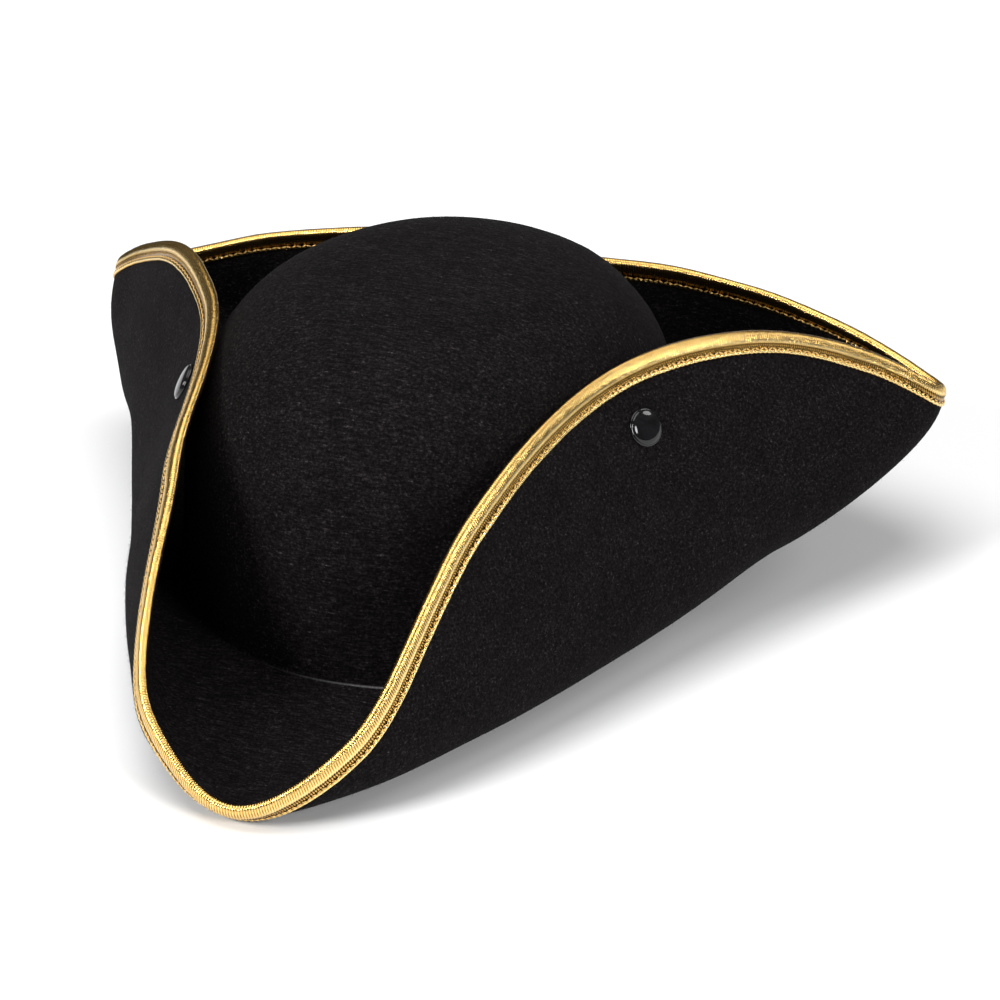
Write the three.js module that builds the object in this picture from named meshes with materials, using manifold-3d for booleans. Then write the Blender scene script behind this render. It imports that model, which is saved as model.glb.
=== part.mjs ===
// Three-cornered felt hat with a folded gold binding and press studs.
// Millimetres, +Z up, front corner towards -Y. The brim is turned up in three flaps
// that are studded to the crown. Each flap can be let down about a line that joins
// its two corners, so the felt is divided there into a body and three flaps.
import * as THREE from "three";
import Module from "manifold-3d";

const wasm = await Module();
wasm.setup();
const { Manifold, Mesh } = wasm;

// ---- crown ------------------------------------------------------------------
const CROWN_HALF_WIDTH = 88.5; // mid-felt, at the brim
const CROWN_HALF_LENGTH = 101;
const CROWN_HEIGHT = 112;
const CROWN_TAPER = 0.03; // how much narrower the top is, as a fraction
const CROWN_SHOULDER = 3.5; // higher is squarer
const FELT = 2.5; // felt thickness

// ---- rim of the brim, one half from the front corner round to the back ----------
// [turn about the crown in degrees, gap out from the crown wall, height]
const RIM = [
  [0, 88, -2],
  [12, 77, 21],
  [28, 31, 75],
  [74, 9, 95],
  [103, 40, 94],
  [115, 72, 73],
  [118, 93, 55.5],
  [121.5, 94.5, 51.5],
  [135, 68, 62.5],
  [154, 39, 70],
  [180, 9, 77],
];
const RIM_WALL_TOP = 0.86; // above this share of the crown the gap is measured at its shoulder

// ---- where the brim turns up: [out from the crown, height], 30 degrees apart -----
const FOLD = [
  [85, -15],
  [54, -9],
  [36, 2],
  [52, 14],
  [98, 30],
  [64, 22],
  [28, 0],
];
const FOLD_PULL = 0.74; // how closely the brim follows the fold line
const CORNER_FAN = 0.03; // how far the lines across the brim fan out to a side corner
const CORNER_SPREAD = 0.03;

// ---- division between the body and the flaps ---------------------------------
const SPLIT_LIFT = 4; // the division passes this far above the corners
const SPLIT_GAP = 0.4;
const SIDE_SPLIT_DROP = 0.5; // fall of the division plane per millimetre outward
const BACK_SPLIT_DROP = 0.95;
const HINGE_CLEARANCE = 3; // the fold axis lies this far outside the felt

// ---- binding and its stitching --------------------------------------------------
const GAP = 0.3; // between pieces that touch
const TAPE = 7.5; // width on each face
const TAPE_THICKNESS = 0.6;
const THREAD_RADIUS = 0.3;
const THREAD_FROM_RIM = 6.2;
const THREAD_GAP = 0.45;

// ---- press studs ----------------------------------------------------------------
const STUD_FROM_RIM = 22;
const LEFT_STUD_FROM_RIM = 17;
const RIGHT_STUD_BACK = 19; // from where the rim is nearest the crown, towards the back
const LEFT_STUD_BACK = -7;
const CAP_RADIUS = 6.8;
const CAP_EDGE = 1.3;
const CAP_DOME = 2.6;
const POST_RADIUS = 1.2;
const SOCKET_RADIUS = 5;
const SOCKET_DEPTH = 1.7;
const SOCKET_FLOOR = 0.7;
const HEAD_RADIUS = 2.1;
const HEAD_DEPTH = 1;
const NECK_RADIUS = 1.6;
const FLANGE_RADIUS = 4.5;
const FLANGE_DEPTH = 0.7;
const BACKING_RADIUS = 5.5;
const BACKING_DEPTH = 1.5;
const ROUND_SIDES = 18;

// ---- inside the head opening -------------------------------------------------
const BAND_BOTTOM = 1.5;
const BAND_HEIGHT = 30;
const BAND_THICKNESS = 1;
const BAND_THREAD_RISE = 3;
const LABEL_HALF_TURN = 7; // degrees
const LABEL_BOTTOM = 10;
const LABEL_HEIGHT = 30;
const LABEL_THICKNESS = 0.4;

// ---- how finely the shapes are divided ----------------------------------------
const HALF_STATIONS = 42;
const DOME_LIFTS = [75, 58, 42, 28]; // degrees, rows over the top of the crown
const BRIM_ROWS = 8;
const GENERATOR_STEPS = 48;
const REACH_STEP = 0.02;
const STUD_STEP = 0.5;

const TURN = Math.PI * 2;
const BAND_TOP = BAND_BOTTOM + BAND_HEIGHT;
const BAND_MIDDLE = BAND_BOTTOM + BAND_HEIGHT / 2;
const HALF_FELT = FELT / 2;
const clearance = HALF_FELT + GAP; // from the felt's middle to what lies on its face
const STUD_ROOM = 2 * clearance + SOCKET_DEPTH + FLANGE_DEPTH + GAP;
const vec = (x, y, z) => new THREE.Vector3(x, y, z);
const along = (a, dir, d) => a.clone().addScaledVector(dir, d);

// ================================ surface of the felt ===========================
function crownScale(z) {
  const q = THREE.MathUtils.clamp(z / CROWN_HEIGHT, 0, 1);
  const round = Math.pow(1 - Math.pow(q, CROWN_SHOULDER), 1 / CROWN_SHOULDER);
  return round * (1 - CROWN_TAPER * q);
}

// lift runs from 0 at the brim to a quarter turn at the top
function crownPoint(u, lift) {
  const share = Math.pow(Math.sin(lift), 2 / CROWN_SHOULDER);
  const r = Math.pow(Math.cos(lift), 2 / CROWN_SHOULDER) * (1 - CROWN_TAPER * share);
  const t = u * TURN;
  return vec(
    CROWN_HALF_WIDTH * r * Math.sin(t),
    -CROWN_HALF_LENGTH * r * Math.cos(t),
    CROWN_HEIGHT * share,
  );
}

function crownNormal(u, lift) {
  const h = 0.002;
  const lo = Math.max(lift - h, 0.0005);
  const hi = Math.min(lift + h, Math.PI / 2 - 0.0005);
  const du = crownPoint(u + h, lift).sub(crownPoint(u - h, lift));
  const dv = crownPoint(u, lo).sub(crownPoint(u, hi));
  return dv.cross(du).normalize();
}

// The straight part of the crown, by height.
function wallPoint(u, z) {
  const k = crownScale(z);
  return vec(CROWN_HALF_WIDTH * k * Math.sin(u * TURN), -CROWN_HALF_LENGTH * k * Math.cos(u * TURN), z);
}

function wallNormal(u, z) {
  const du = wallPoint(u + 0.002, z).sub(wallPoint(u - 0.002, z));
  const dv = wallPoint(u, Math.max(z - 0.5, 0)).sub(wallPoint(u, z + 0.5));
  return dv.cross(du).normalize();
}

function rimNode([turn, gap, z]) {
  const k = crownScale(THREE.MathUtils.clamp(z, 0, RIM_WALL_TOP * CROWN_HEIGHT));
  const a = CROWN_HALF_WIDTH * k;
  const b = CROWN_HALF_LENGTH * k;
  const t = THREE.MathUtils.degToRad(turn);
  const out = vec(Math.sin(t) / a, -Math.cos(t) / b, 0).normalize();
  return vec(a * Math.sin(t), -b * Math.cos(t), z).addScaledVector(out, gap);
}

function mirrored(half) {
  return half.concat(half.slice(1, -1).reverse());
}

const rimCurve = new THREE.CatmullRomCurve3(
  RIM.map(rimNode).concat(
    RIM.slice(1, -1).reverse().map((row) => rimNode(row).multiply(vec(-1, 1, 1))),
  ),
  true,
  "centripetal",
);
rimCurve.arcLengthDivisions = 2400;
const RIM_LENGTH = rimCurve.getLength();
const wrap = (u) => ((u % 1) + 1) % 1;
const rimPoint = (u) => rimCurve.getPointAt(wrap(u));

function smoothTable(table, u) {
  const rows = mirrored(table);
  const n = rows.length;
  const x = wrap(u) * n;
  const i = Math.floor(x);
  const f = x - i;
  const at = (k) => rows[(i + k + n) % n];
  return table[0].map((_, c) => {
    const [p, q, r, s] = [at(-1)[c], at(0)[c], at(1)[c], at(2)[c]];
    const bend = 2 * p - 5 * q + 4 * r - s;
    return q + 0.5 * f * (r - p + f * (bend + f * (3 * (q - r) + s - p)));
  });
}

function foldPoint(u) {
  const [out, z] = smoothTable(FOLD, u);
  const s = Math.sin(u * TURN);
  const c = Math.cos(u * TURN);
  const wall = 1 / Math.hypot(s / CROWN_HALF_WIDTH, c / CROWN_HALF_LENGTH);
  return vec(s * (wall + out), -c * (wall + out), z);
}

// The side corner is where the rim is furthest out.
function sideCornerU() {
  let best = 0;
  let far = 0;
  for (let u = 0.2; u < 0.45; u += 0.0005) {
    const p = rimPoint(u);
    const r = Math.hypot(p.x, p.y);
    if (r > far) {
      far = r;
      best = u;
    }
  }
  return best;
}
const CORNER = sideCornerU();

// Share of a turn about the crown that a line across the brim starts from. Lines fan out
// to a side corner, so that they meet the rim squarely on both sides of it.
function baseTurn(u) {
  const w = wrap(u);
  const fan = (x) => CORNER_FAN * x * Math.exp(0.5 * (1 - x * x));
  return u + fan((w - CORNER) / CORNER_SPREAD) + fan((w - 1 + CORNER) / CORNER_SPREAD);
}

function brimPoint(u, t) {
  const w = baseTurn(u);
  const start = wallPoint(w, 0);
  const end = rimPoint(u);
  const fold = foldPoint(w);
  const c1 = start.clone().lerp(fold, FOLD_PULL);
  const c2 = end.clone().lerp(fold, FOLD_PULL);
  const s = 1 - t;
  return vec(0, 0, 0)
    .addScaledVector(start, s * s * s)
    .addScaledVector(c1, 3 * s * s * t)
    .addScaledVector(c2, 3 * s * t * t)
    .addScaledVector(end, t * t * t);
}

function brimNormal(u, t) {
  const h = 0.0015;
  const du = brimPoint(u + h, t).sub(brimPoint(u - h, t));
  const dv = brimPoint(u, Math.min(t + h, 1)).sub(brimPoint(u, Math.max(t - h, 0)));
  return dv.cross(du).normalize();
}

// Lengths along one line from the crown to the rim, so rows can be set by distance.
function generator(u) {
  const lengths = [0];
  let last = brimPoint(u, 0);
  for (let i = 1; i <= GENERATOR_STEPS; i += 1) {
    const next = brimPoint(u, i / GENERATOR_STEPS);
    lengths.push(lengths[i - 1] + next.distanceTo(last));
    last = next;
  }
  const total = lengths[GENERATOR_STEPS];
  const paramAt = (s) => {
    let i = 1;
    while (i < GENERATOR_STEPS && lengths[i] < s) i += 1;
    const f = (s - lengths[i - 1]) / (lengths[i] - lengths[i - 1]);
    return (i - 1 + f) / GENERATOR_STEPS;
  };
  return { total, paramAt };
}

// ================================ stations round the hat ========================

function halfStations() {
  const fine = 2000;
  const density = (u) =>
    1 + 1.6 * Math.exp(-(((u - CORNER) / 0.03) ** 2)) + 0.7 * Math.exp(-((u / 0.05) ** 2));
  const sum = [0];
  for (let i = 1; i <= fine; i += 1) sum.push(sum[i - 1] + density((i - 0.5) * (0.5 / fine)));
  const list = [];
  let j = 0;
  for (let k = 0; k <= HALF_STATIONS; k += 1) {
    const want = (sum[fine] * k) / HALF_STATIONS;
    while (j < fine && sum[j] < want) j += 1;
    list.push((j * 0.5) / fine);
  }
  list[HALF_STATIONS] = 0.5;
  let near = 0;
  list.forEach((u, k) => {
    if (Math.abs(u - CORNER) < Math.abs(list[near] - CORNER)) near = k;
  });
  list[near] = CORNER;
  return { list, near };
}
const half = halfStations();
const STATIONS = half.list.concat(half.list.slice(1, -1).reverse().map((u) => 1 - u));
const COUNT = STATIONS.length;
const CORNER_INDEX = [0, half.near, COUNT - half.near];

function feltColumn(u) {
  const w = baseTurn(u);
  const rows = DOME_LIFTS.map((degrees) => {
    const lift = THREE.MathUtils.degToRad(degrees);
    return { p: crownPoint(w, lift), n: crownNormal(w, lift) };
  });
  const domeFoot = rows[rows.length - 1].p.z;
  [(domeFoot + BAND_TOP) / 2, BAND_TOP, BAND_MIDDLE].forEach((z) => {
    rows.push({ p: wallPoint(w, z), n: wallNormal(w, z) });
  });
  const wall = wallNormal(w, 0);
  const flat = brimNormal(u, 0.001);
  const mitre = wall.clone().add(flat).divideScalar(1 + wall.dot(flat));
  rows.push({ p: wallPoint(w, 0), n: mitre });
  return rows.concat(brimColumn(u, 1));
}

function brimColumn(u, first) {
  const g = generator(u);
  const rows = [];
  for (let j = first; j <= BRIM_ROWS; j += 1) {
    const t = g.paramAt(((g.total - TAPE) * j) / BRIM_ROWS);
    rows.push({ p: brimPoint(u, t), n: brimNormal(u, t) });
  }
  rows.push({ p: brimPoint(u, 1), n: brimNormal(u, 1) });
  return rows;
}

// ================================ making solids =================================
function toManifold(points, faces) {
  const make = (order) => new Manifold(new Mesh({
    numProp: 3,
    vertProperties: new Float32Array(points.flatMap((p) => [p.x, p.y, p.z])),
    triVerts: new Uint32Array(order.flat()),
  }));
  const body = make(faces);
  return body.volume() > 0 ? body : make(faces.map(([a, b, c]) => [a, c, b]));
}

function toGeometry(body) {
  const mesh = body.getMesh();
  const g = new THREE.BufferGeometry();
  g.setAttribute("position", new THREE.BufferAttribute(new Float32Array(mesh.vertProperties), 3));
  g.setIndex(new THREE.BufferAttribute(new Uint32Array(mesh.triVerts), 1));
  g.computeVertexNormals();
  return g;
}

function largest(body) {
  return body.decompose().sort((a, b) => b.volume() - a.volume())[0];
}

// A band of cross-sections: each section is a closed ring of the same count of points.
// A face is divided from its inner corner to the next outer one, or turned where asked,
// so that surfaces that lie against each other are divided alike.
function loft(sections, closed, isTurned = () => false) {
  const n = sections.length;
  const m = sections[0].length;
  const faces = [];
  for (let i = 0; i < (closed ? n : n - 1); i += 1) {
    const a = i * m;
    const b = ((i + 1) % n) * m;
    for (let j = 0; j < m; j += 1) {
      const k = (j + 1) % m;
      if (isTurned(j)) faces.push([a + j, a + k, b + j], [a + k, b + k, b + j]);
      else faces.push([a + j, a + k, b + k], [a + j, b + k, b + j]);
    }
  }
  if (!closed) {
    const e = (n - 1) * m;
    for (let j = 0; j < m / 2 - 1; j += 1) {
      const k = m - 1 - j;
      faces.push([j, k, j + 1], [j + 1, k, k - 1]);
      faces.push([e + j, e + j + 1, e + k], [e + j + 1, e + k - 1, e + k]);
    }
  }
  return toManifold(sections.flat(), faces);
}

// A slab of even thickness on a grid of surface points, open at both ends.
function slab(columns, halfThickness, past = 0) {
  const count = columns[0].length + (past > 0 ? 1 : 0);
  return loft(columns.map((rows) => {
    const list = rows.slice();
    if (past > 0) {
      const e = list[list.length - 1];
      const dir = e.p.clone().sub(list[list.length - 2].p).normalize();
      list.push({ p: along(e.p, dir, past), n: e.n });
    }
    const top = list.map((r) => along(r.p, r.n, halfThickness));
    const low = list.map((r) => along(r.p, r.n, -halfThickness)).reverse();
    return top.concat(low);
  }), false, (j) => j >= count);
}

// The whole felt, crown and brim in one shell.
function feltShell() {
  const columns = STATIONS.map(feltColumn);
  const rows = columns[0].length;
  const points = [vec(0, 0, CROWN_HEIGHT + HALF_FELT), vec(0, 0, CROWN_HEIGHT - HALF_FELT)];
  const top = (i, j) => 2 + 2 * ((i % COUNT) * rows + j);
  const low = (i, j) => top(i, j) + 1;
  const faces = [];
  columns.forEach((column) => column.forEach((r) => {
    points.push(along(r.p, r.n, HALF_FELT), along(r.p, r.n, -HALF_FELT));
  }));
  for (let i = 0; i < COUNT; i += 1) {
    faces.push([0, top(i, 0), top(i + 1, 0)], [1, low(i + 1, 0), low(i, 0)]);
    for (let j = 0; j < rows - 1; j += 1) {
      faces.push([top(i, j), top(i, j + 1), top(i + 1, j + 1)]);
      faces.push([top(i, j), top(i + 1, j + 1), top(i + 1, j)]);
      faces.push([low(i, j), low(i + 1, j + 1), low(i, j + 1)]);
      faces.push([low(i, j), low(i + 1, j), low(i + 1, j + 1)]);
    }
    const e = rows - 1;
    faces.push([top(i, e), low(i, e), low(i + 1, e)], [top(i, e), low(i + 1, e), top(i + 1, e)]);
  }
  return toManifold(points, faces);
}

// ================================ the three flaps ===============================
function stationRange(from, to) {
  const list = [];
  for (let i = from; i <= to; i += 1) {
    list.push(i < 0 ? STATIONS[i + COUNT] - 1 : i < COUNT ? STATIONS[i] : STATIONS[i - COUNT] + 1);
  }
  return list;
}

function nearestToCrown(from, to) {
  let best = 0;
  let least = Infinity;
  const steps = 600;
  for (let i = 1; i < steps; i += 1) {
    const u = from + ((to - from) * i) / steps;
    const p = rimPoint(u);
    const k = crownScale(THREE.MathUtils.clamp(p.z, 0, RIM_WALL_TOP * CROWN_HEIGHT));
    const q = Math.hypot(p.x / (CROWN_HALF_WIDTH * k), p.y / (CROWN_HALF_LENGTH * k));
    const gap = Math.hypot(p.x, p.y) * (1 - 1 / q);
    if (gap < least) {
      least = gap;
      best = u;
    }
  }
  return best;
}

function makeFlap(name, fromIndex, toIndex, drop, studShift, studFromRim) {
  const us = stationRange(fromIndex, toIndex);
  const lift = vec(0, 0, SPLIT_LIFT);
  const a = rimPoint(us[0]).add(lift);
  const b = rimPoint(us[us.length - 1]).add(lift);
  const line = b.clone().sub(a).normalize();
  const out = vec(line.y, -line.x, 0).normalize();
  const slope = out.clone().addScaledVector(vec(0, 0, 1), -drop);
  const normal = slope.clone().cross(line).normalize();
  const offset = normal.dot(a);
  // the slope made square to the corner line, within the division plane
  const across = line.clone().cross(normal).normalize();
  const reach = [];
  us.forEach((u) => brimColumn(u, 2).forEach((r) => {
    if (Math.abs(normal.dot(r.p) - offset) < 8) reach.push(across.dot(r.p.clone().sub(a)));
  }));
  const hingeOut = Math.max(...reach) + HALF_FELT + HINGE_CLEARANCE;
  const middle = a.clone().lerp(b, 0.5);
  return {
    name,
    us,
    line,
    normal,
    offset,
    pivot: along(middle, across, hingeOut),
    studU: nearestToCrown(us[0], us[us.length - 1]) + studShift / RIM_LENGTH,
    studFromRim,
  };
}
const FLAPS = [
  makeFlap("right", CORNER_INDEX[0], CORNER_INDEX[1], SIDE_SPLIT_DROP, RIGHT_STUD_BACK, STUD_FROM_RIM),
  makeFlap("back", CORNER_INDEX[1], CORNER_INDEX[2], BACK_SPLIT_DROP, 0, STUD_FROM_RIM),
  makeFlap("left", CORNER_INDEX[2], COUNT, SIDE_SPLIT_DROP, -LEFT_STUD_BACK, LEFT_STUD_FROM_RIM),
];
const above = (body, flap, extra) =>
  body.trimByPlane([flap.normal.x, flap.normal.y, flap.normal.z], flap.offset + extra);
const below = (body, flap) =>
  body.trimByPlane([-flap.normal.x, -flap.normal.y, -flap.normal.z], -flap.offset);

// ================================ binding and thread ============================
function edgeFrame(u) {
  const g = generator(u);
  const inner = { p: brimPoint(u, g.paramAt(g.total - TAPE)) };
  inner.n = brimNormal(u, g.paramAt(g.total - TAPE));
  const rim = { p: brimPoint(u, 1), n: brimNormal(u, 1) };
  const outward = rim.p.clone().sub(inner.p).normalize();
  return { inner, rim, outward };
}

function bindingSection(u) {
  const { inner, rim, outward } = edgeFrame(u);
  const near = HALF_FELT + GAP;
  const far = near + TAPE_THICKNESS;
  const edge = (s, h) => along(along(rim.p, outward, s), rim.n, h);
  const leg = (h) => along(inner.p, inner.n, h);
  return [
    leg(far), edge(0, far), edge(0.7 * far, 0.72 * far), edge(far, 0),
    edge(0.7 * far, -0.72 * far), edge(0, -far), leg(-far),
    leg(-near), edge(GAP, -near), edge(GAP, near), leg(near),
  ];
}

function threadSection(u, side) {
  const { inner, rim, outward } = edgeFrame(u);
  const f = THREAD_FROM_RIM / TAPE;
  const p = rim.p.clone().lerp(inner.p, f);
  const n = rim.n.clone().lerp(inner.n, f).normalize();
  const rise = side * (HALF_FELT + GAP + TAPE_THICKNESS + THREAD_GAP + THREAD_RADIUS);
  const centre = along(p, n, rise);
  return [0, 1, 2, 3].map((k) => {
    const c = THREAD_RADIUS * Math.cos((k * TURN) / 4);
    const s = THREAD_RADIUS * Math.sin((k * TURN) / 4);
    return along(along(centre, outward, c), n, s);
  });
}

// Open bands need sections whose opposite points pair up; the binding has an odd count.
function openBinding(us) {
  const sections = us.map((u) => {
    const s = bindingSection(u);
    const mid = s[8].clone().lerp(s[9], 0.5);
    return [s[3], s[4], s[5], s[6], s[7], s[8], mid, s[9], s[10], s[0], s[1], s[2]];
  });
  const n = sections.length;
  const m = 12;
  const faces = [];
  for (let i = 0; i < n - 1; i += 1) {
    for (let j = 0; j < m; j += 1) {
      const k = (j + 1) % m;
      const a = i * m;
      const b = a + m;
      if (j === 2 || j === 7) faces.push([a + j, a + k, b + j], [a + k, b + k, b + j]);
      else faces.push([a + j, a + k, b + k], [a + j, b + k, b + j]);
    }
  }
  // the end faces: 0 is the outer nose, 6 is the middle of the slot
  const fan = [[0, 1, 6], [1, 5, 6], [1, 2, 5], [2, 4, 5], [2, 3, 4],
    [0, 6, 11], [11, 6, 7], [11, 7, 10], [10, 7, 8], [10, 8, 9]];
  const e = (n - 1) * m;
  fan.forEach(([a, b, c]) => faces.push([a, c, b], [e + a, e + b, e + c]));
  return toManifold(sections.flat(), faces);
}

// ================================ press studs ===================================
function turned(profile) {
  const points = profile.map(([r, h]) => new THREE.Vector2(r, h));
  const g = new THREE.LatheGeometry(points, ROUND_SIDES);
  const pos = g.attributes.position;
  const verts = [];
  const seen = new Map();
  const index = [];
  for (let i = 0; i < pos.count; i += 1) {
    const key = [pos.getX(i), pos.getY(i), pos.getZ(i)].map((v) => Math.round(v * 1e4)).join();
    if (!seen.has(key)) {
      seen.set(key, verts.length);
      verts.push(vec(pos.getX(i), -pos.getZ(i), pos.getY(i)));
    }
    index.push(seen.get(key));
  }
  const faces = [];
  const tri = g.index.array;
  for (let i = 0; i < tri.length; i += 3) {
    const f = [index[tri[i]], index[tri[i + 1]], index[tri[i + 2]]];
    if (f[0] !== f[1] && f[1] !== f[2] && f[2] !== f[0]) faces.push(f);
  }
  return toManifold(verts, faces);
}

const disc = (r, from, to) => turned([[0, from], [r, from], [r, to], [0, to]]);

function placed(body, origin, axis) {
  const q = new THREE.Quaternion().setFromUnitVectors(vec(0, 0, 1), axis);
  const m = new THREE.Matrix4().compose(origin, q, vec(1, 1, 1));
  return body.transform(m.elements);
}

// A stud's line at one place on a flap: square to the flap, as far as the crown.
function studLine(u, fromRim) {
  const g = generator(u);
  const t = g.paramAt(g.total - fromRim);
  const origin = brimPoint(u, t);
  const axis = brimNormal(u, t);
  let reach = 0;
  const outside = (p) => {
    const k = crownScale(p.z);
    return Math.hypot(p.x / (CROWN_HALF_WIDTH * k), p.y / (CROWN_HALF_LENGTH * k)) > 1;
  };
  while (reach < CROWN_HALF_WIDTH && outside(along(origin, axis, reach))) reach += REACH_STEP;
  return { origin, axis, reach };
}

// The stud sits at its distance from the rim, or further down where the felts come too
// near each other to hold the socket and the stud's flange between them.
function studPlace(flap) {
  let fromRim = flap.studFromRim;
  let place = studLine(flap.studU, fromRim);
  while (place.reach < STUD_ROOM) {
    fromRim += STUD_STEP;
    place = studLine(flap.studU, fromRim);
  }
  return place;
}

// The crown as a slab thick enough to clear what sits on either face of it.
const crownColumns = STATIONS.map((u) => feltColumn(u).slice(0, DOME_LIFTS.length + 4));
const crownSlab = loft(crownColumns.map((rows) => {
  const top = rows.map((r) => along(r.p, r.n, clearance));
  return top.concat(rows.map((r) => along(r.p, r.n, -clearance)).reverse());
}), true, (j) => j >= DOME_LIFTS.length + 4);

function pressStud(flap) {
  const s = studPlace(flap);
  const flapSlab = slab(flap.us.map((u) => brimColumn(u, 2)), clearance);
  const put = (body) => placed(body, s.origin, s.axis);
  const back = -clearance;
  const dome = [[0, 0]];
  dome.push([CAP_RADIUS, 0], [CAP_RADIUS, back - CAP_EDGE + 0.4]);
  for (let i = 1; i <= 4; i += 1) {
    const a = (i / 4) * 0.5 * Math.PI;
    const r = (CAP_RADIUS - 0.5) * Math.cos(a * 0.92);
    dome.push([i === 4 ? 0 : r, back - CAP_EDGE - (CAP_DOME - CAP_EDGE) * Math.sin(a)]);
  }
  const cap = largest(put(turned(dome)).subtract(flapSlab))
    .add(put(disc(POST_RADIUS, back - CAP_EDGE * 0.5, clearance + SOCKET_FLOOR - 0.1)));
  const socketEnd = clearance + SOCKET_DEPTH;
  const cavity = clearance + SOCKET_FLOOR;
  const socket = largest(put(disc(SOCKET_RADIUS, 0.2, socketEnd)).subtract(flapSlab))
    .subtract(put(disc(POST_RADIUS + GAP, -1, socketEnd)))
    .subtract(put(disc(HEAD_RADIUS + GAP + 0.1, cavity, socketEnd + 1)));
  const wall = s.reach - clearance;
  const headFrom = cavity + GAP;
  const flange = largest(put(disc(FLANGE_RADIUS, wall - FLANGE_DEPTH, s.reach)).subtract(crownSlab));
  const stud = flange
    .add(put(disc(HEAD_RADIUS, headFrom, headFrom + HEAD_DEPTH)))
    .add(put(disc(NECK_RADIUS, headFrom + HEAD_DEPTH / 2, wall - FLANGE_DEPTH / 2)))
    .add(put(disc(POST_RADIUS, wall - FLANGE_DEPTH, s.reach + clearance + BACKING_DEPTH)));
  const backing = largest(
    put(disc(BACKING_RADIUS, s.reach, s.reach + clearance + BACKING_DEPTH)).subtract(crownSlab),
  ).subtract(put(disc(POST_RADIUS + GAP, 0, s.reach + 2 * clearance + BACKING_DEPTH)));
  const bore = put(disc(POST_RADIUS + GAP, -4, 4));
  const wallBore = put(disc(POST_RADIUS + GAP, s.reach - 4, s.reach + 4));
  return { cap, socket, stud, backing, bore, wallBore };
}

// ================================ inside the opening ============================
// Sections of a strip that follows the inner wall, inset from the felt's middle.
function stripSection(u, zs, near, thickness) {
  const at = (z, inset) => along(wallPoint(u, z), wallNormal(u, z), -inset);
  return zs.map((z) => at(z, near)).concat(zs.slice().reverse().map((z) => at(z, near + thickness)));
}

const bandInset = HALF_FELT + GAP;
const bandInner = bandInset + BAND_THICKNESS;
function sweatband() {
  const zs = [BAND_BOTTOM, BAND_TOP];
  return loft(STATIONS.map((u) => stripSection(baseTurn(u), zs, bandInset, BAND_THICKNESS)), true);
}

function bandThread() {
  const z = BAND_BOTTOM + BAND_THREAD_RISE;
  const zs = [z - THREAD_RADIUS, z + THREAD_RADIUS];
  return loft(
    STATIONS.map((u) => stripSection(baseTurn(u), zs, bandInner + GAP, 2 * THREAD_RADIUS)), true,
  );
}

function label() {
  const zs = [LABEL_BOTTOM, LABEL_BOTTOM + LABEL_HEIGHT];
  const us = [0.5 - LABEL_HALF_TURN / 360, 0.5 + LABEL_HALF_TURN / 360];
  return loft(us.map((u) => stripSection(u, zs, bandInner + 2 * GAP, LABEL_THICKNESS)), false);
}

// ================================ assembly ======================================
const MATERIALS = {
  felt: { color: 0x1b1a1c, roughness: 0.95, metalness: 0 },
  gold: { color: 0xd9a441, roughness: 0.35, metalness: 0.85 },
  thread: { color: 0xc8923a, roughness: 0.6, metalness: 0.3 },
  plastic: { color: 0x0c0c0e, roughness: 0.15, metalness: 0 },
  band: { color: 0x17171a, roughness: 0.7, metalness: 0 },
  darkThread: { color: 0x202024, roughness: 0.8, metalness: 0 },
  label: { color: 0xe9e7e2, roughness: 0.6, metalness: 0 },
};

const hat = new THREE.Group();
hat.name = "pirate_hat";
const solids = [];
const keep = (name, body, material) => solids.push({ name, body, material });

let body = feltShell();
const studs = FLAPS.map(pressStud);
FLAPS.forEach((flap, i) => {
  const columns = flap.us.map((u) => brimColumn(u, 2));
  body = body.subtract(above(slab(columns, HALF_FELT + 0.6, 1), flap, 0));
  const felt = above(slab(columns, HALF_FELT), flap, SPLIT_GAP).subtract(studs[i].bore);
  keep(`felt_${flap.name}_flap`, largest(felt), "felt");
});
studs.forEach((stud) => {
  body = body.subtract(stud.wallBore);
});
keep("felt_crown_brim", largest(body), "felt");

FLAPS.forEach((flap) => {
  keep(`binding_${flap.name}`, largest(above(openBinding(flap.us), flap, SPLIT_GAP)), "gold");
  const strand = (side) => loft(flap.us.map((u) => threadSection(u, side)), false);
  keep(`thread_${flap.name}_inner`, largest(above(strand(1), flap, SPLIT_GAP)), "thread");
  keep(`thread_${flap.name}_outer`, largest(above(strand(-1), flap, SPLIT_GAP)), "thread");
});

// the binding round each corner stays with the body
const CORNERS = [
  ["front_corner", 0, FLAPS[2], FLAPS[0]],
  ["right_corner", CORNER_INDEX[1], FLAPS[0], FLAPS[1]],
  ["left_corner", CORNER_INDEX[2], FLAPS[1], FLAPS[2]],
];
const CORNER_REACH = 5;
CORNERS.forEach(([name, index, before, after]) => {
  const us = stationRange(index - CORNER_REACH, index + CORNER_REACH);
  const piece = below(below(openBinding(us), before), after);
  const tip = rimPoint(STATIONS[index]);
  const parts = piece.decompose().sort((a, b) => {
    const far = (m) => {
      const box = m.boundingBox();
      return vec(...box.min).add(vec(...box.max)).multiplyScalar(0.5).distanceTo(tip);
    };
    return far(a) - far(b);
  });
  keep(`binding_${name}`, parts[0], "gold");
});

FLAPS.forEach((flap, i) => {
  keep(`cap_${flap.name}`, studs[i].cap, "plastic");
  keep(`socket_${flap.name}`, studs[i].socket, "plastic");
  keep(`stud_${flap.name}`, studs[i].stud, "plastic");
  keep(`backing_${flap.name}`, studs[i].backing, "plastic");
});
keep("sweatband", sweatband(), "band");
keep("sweatband_thread", bandThread(), "darkThread");
keep("care_label", label(), "label");

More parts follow.
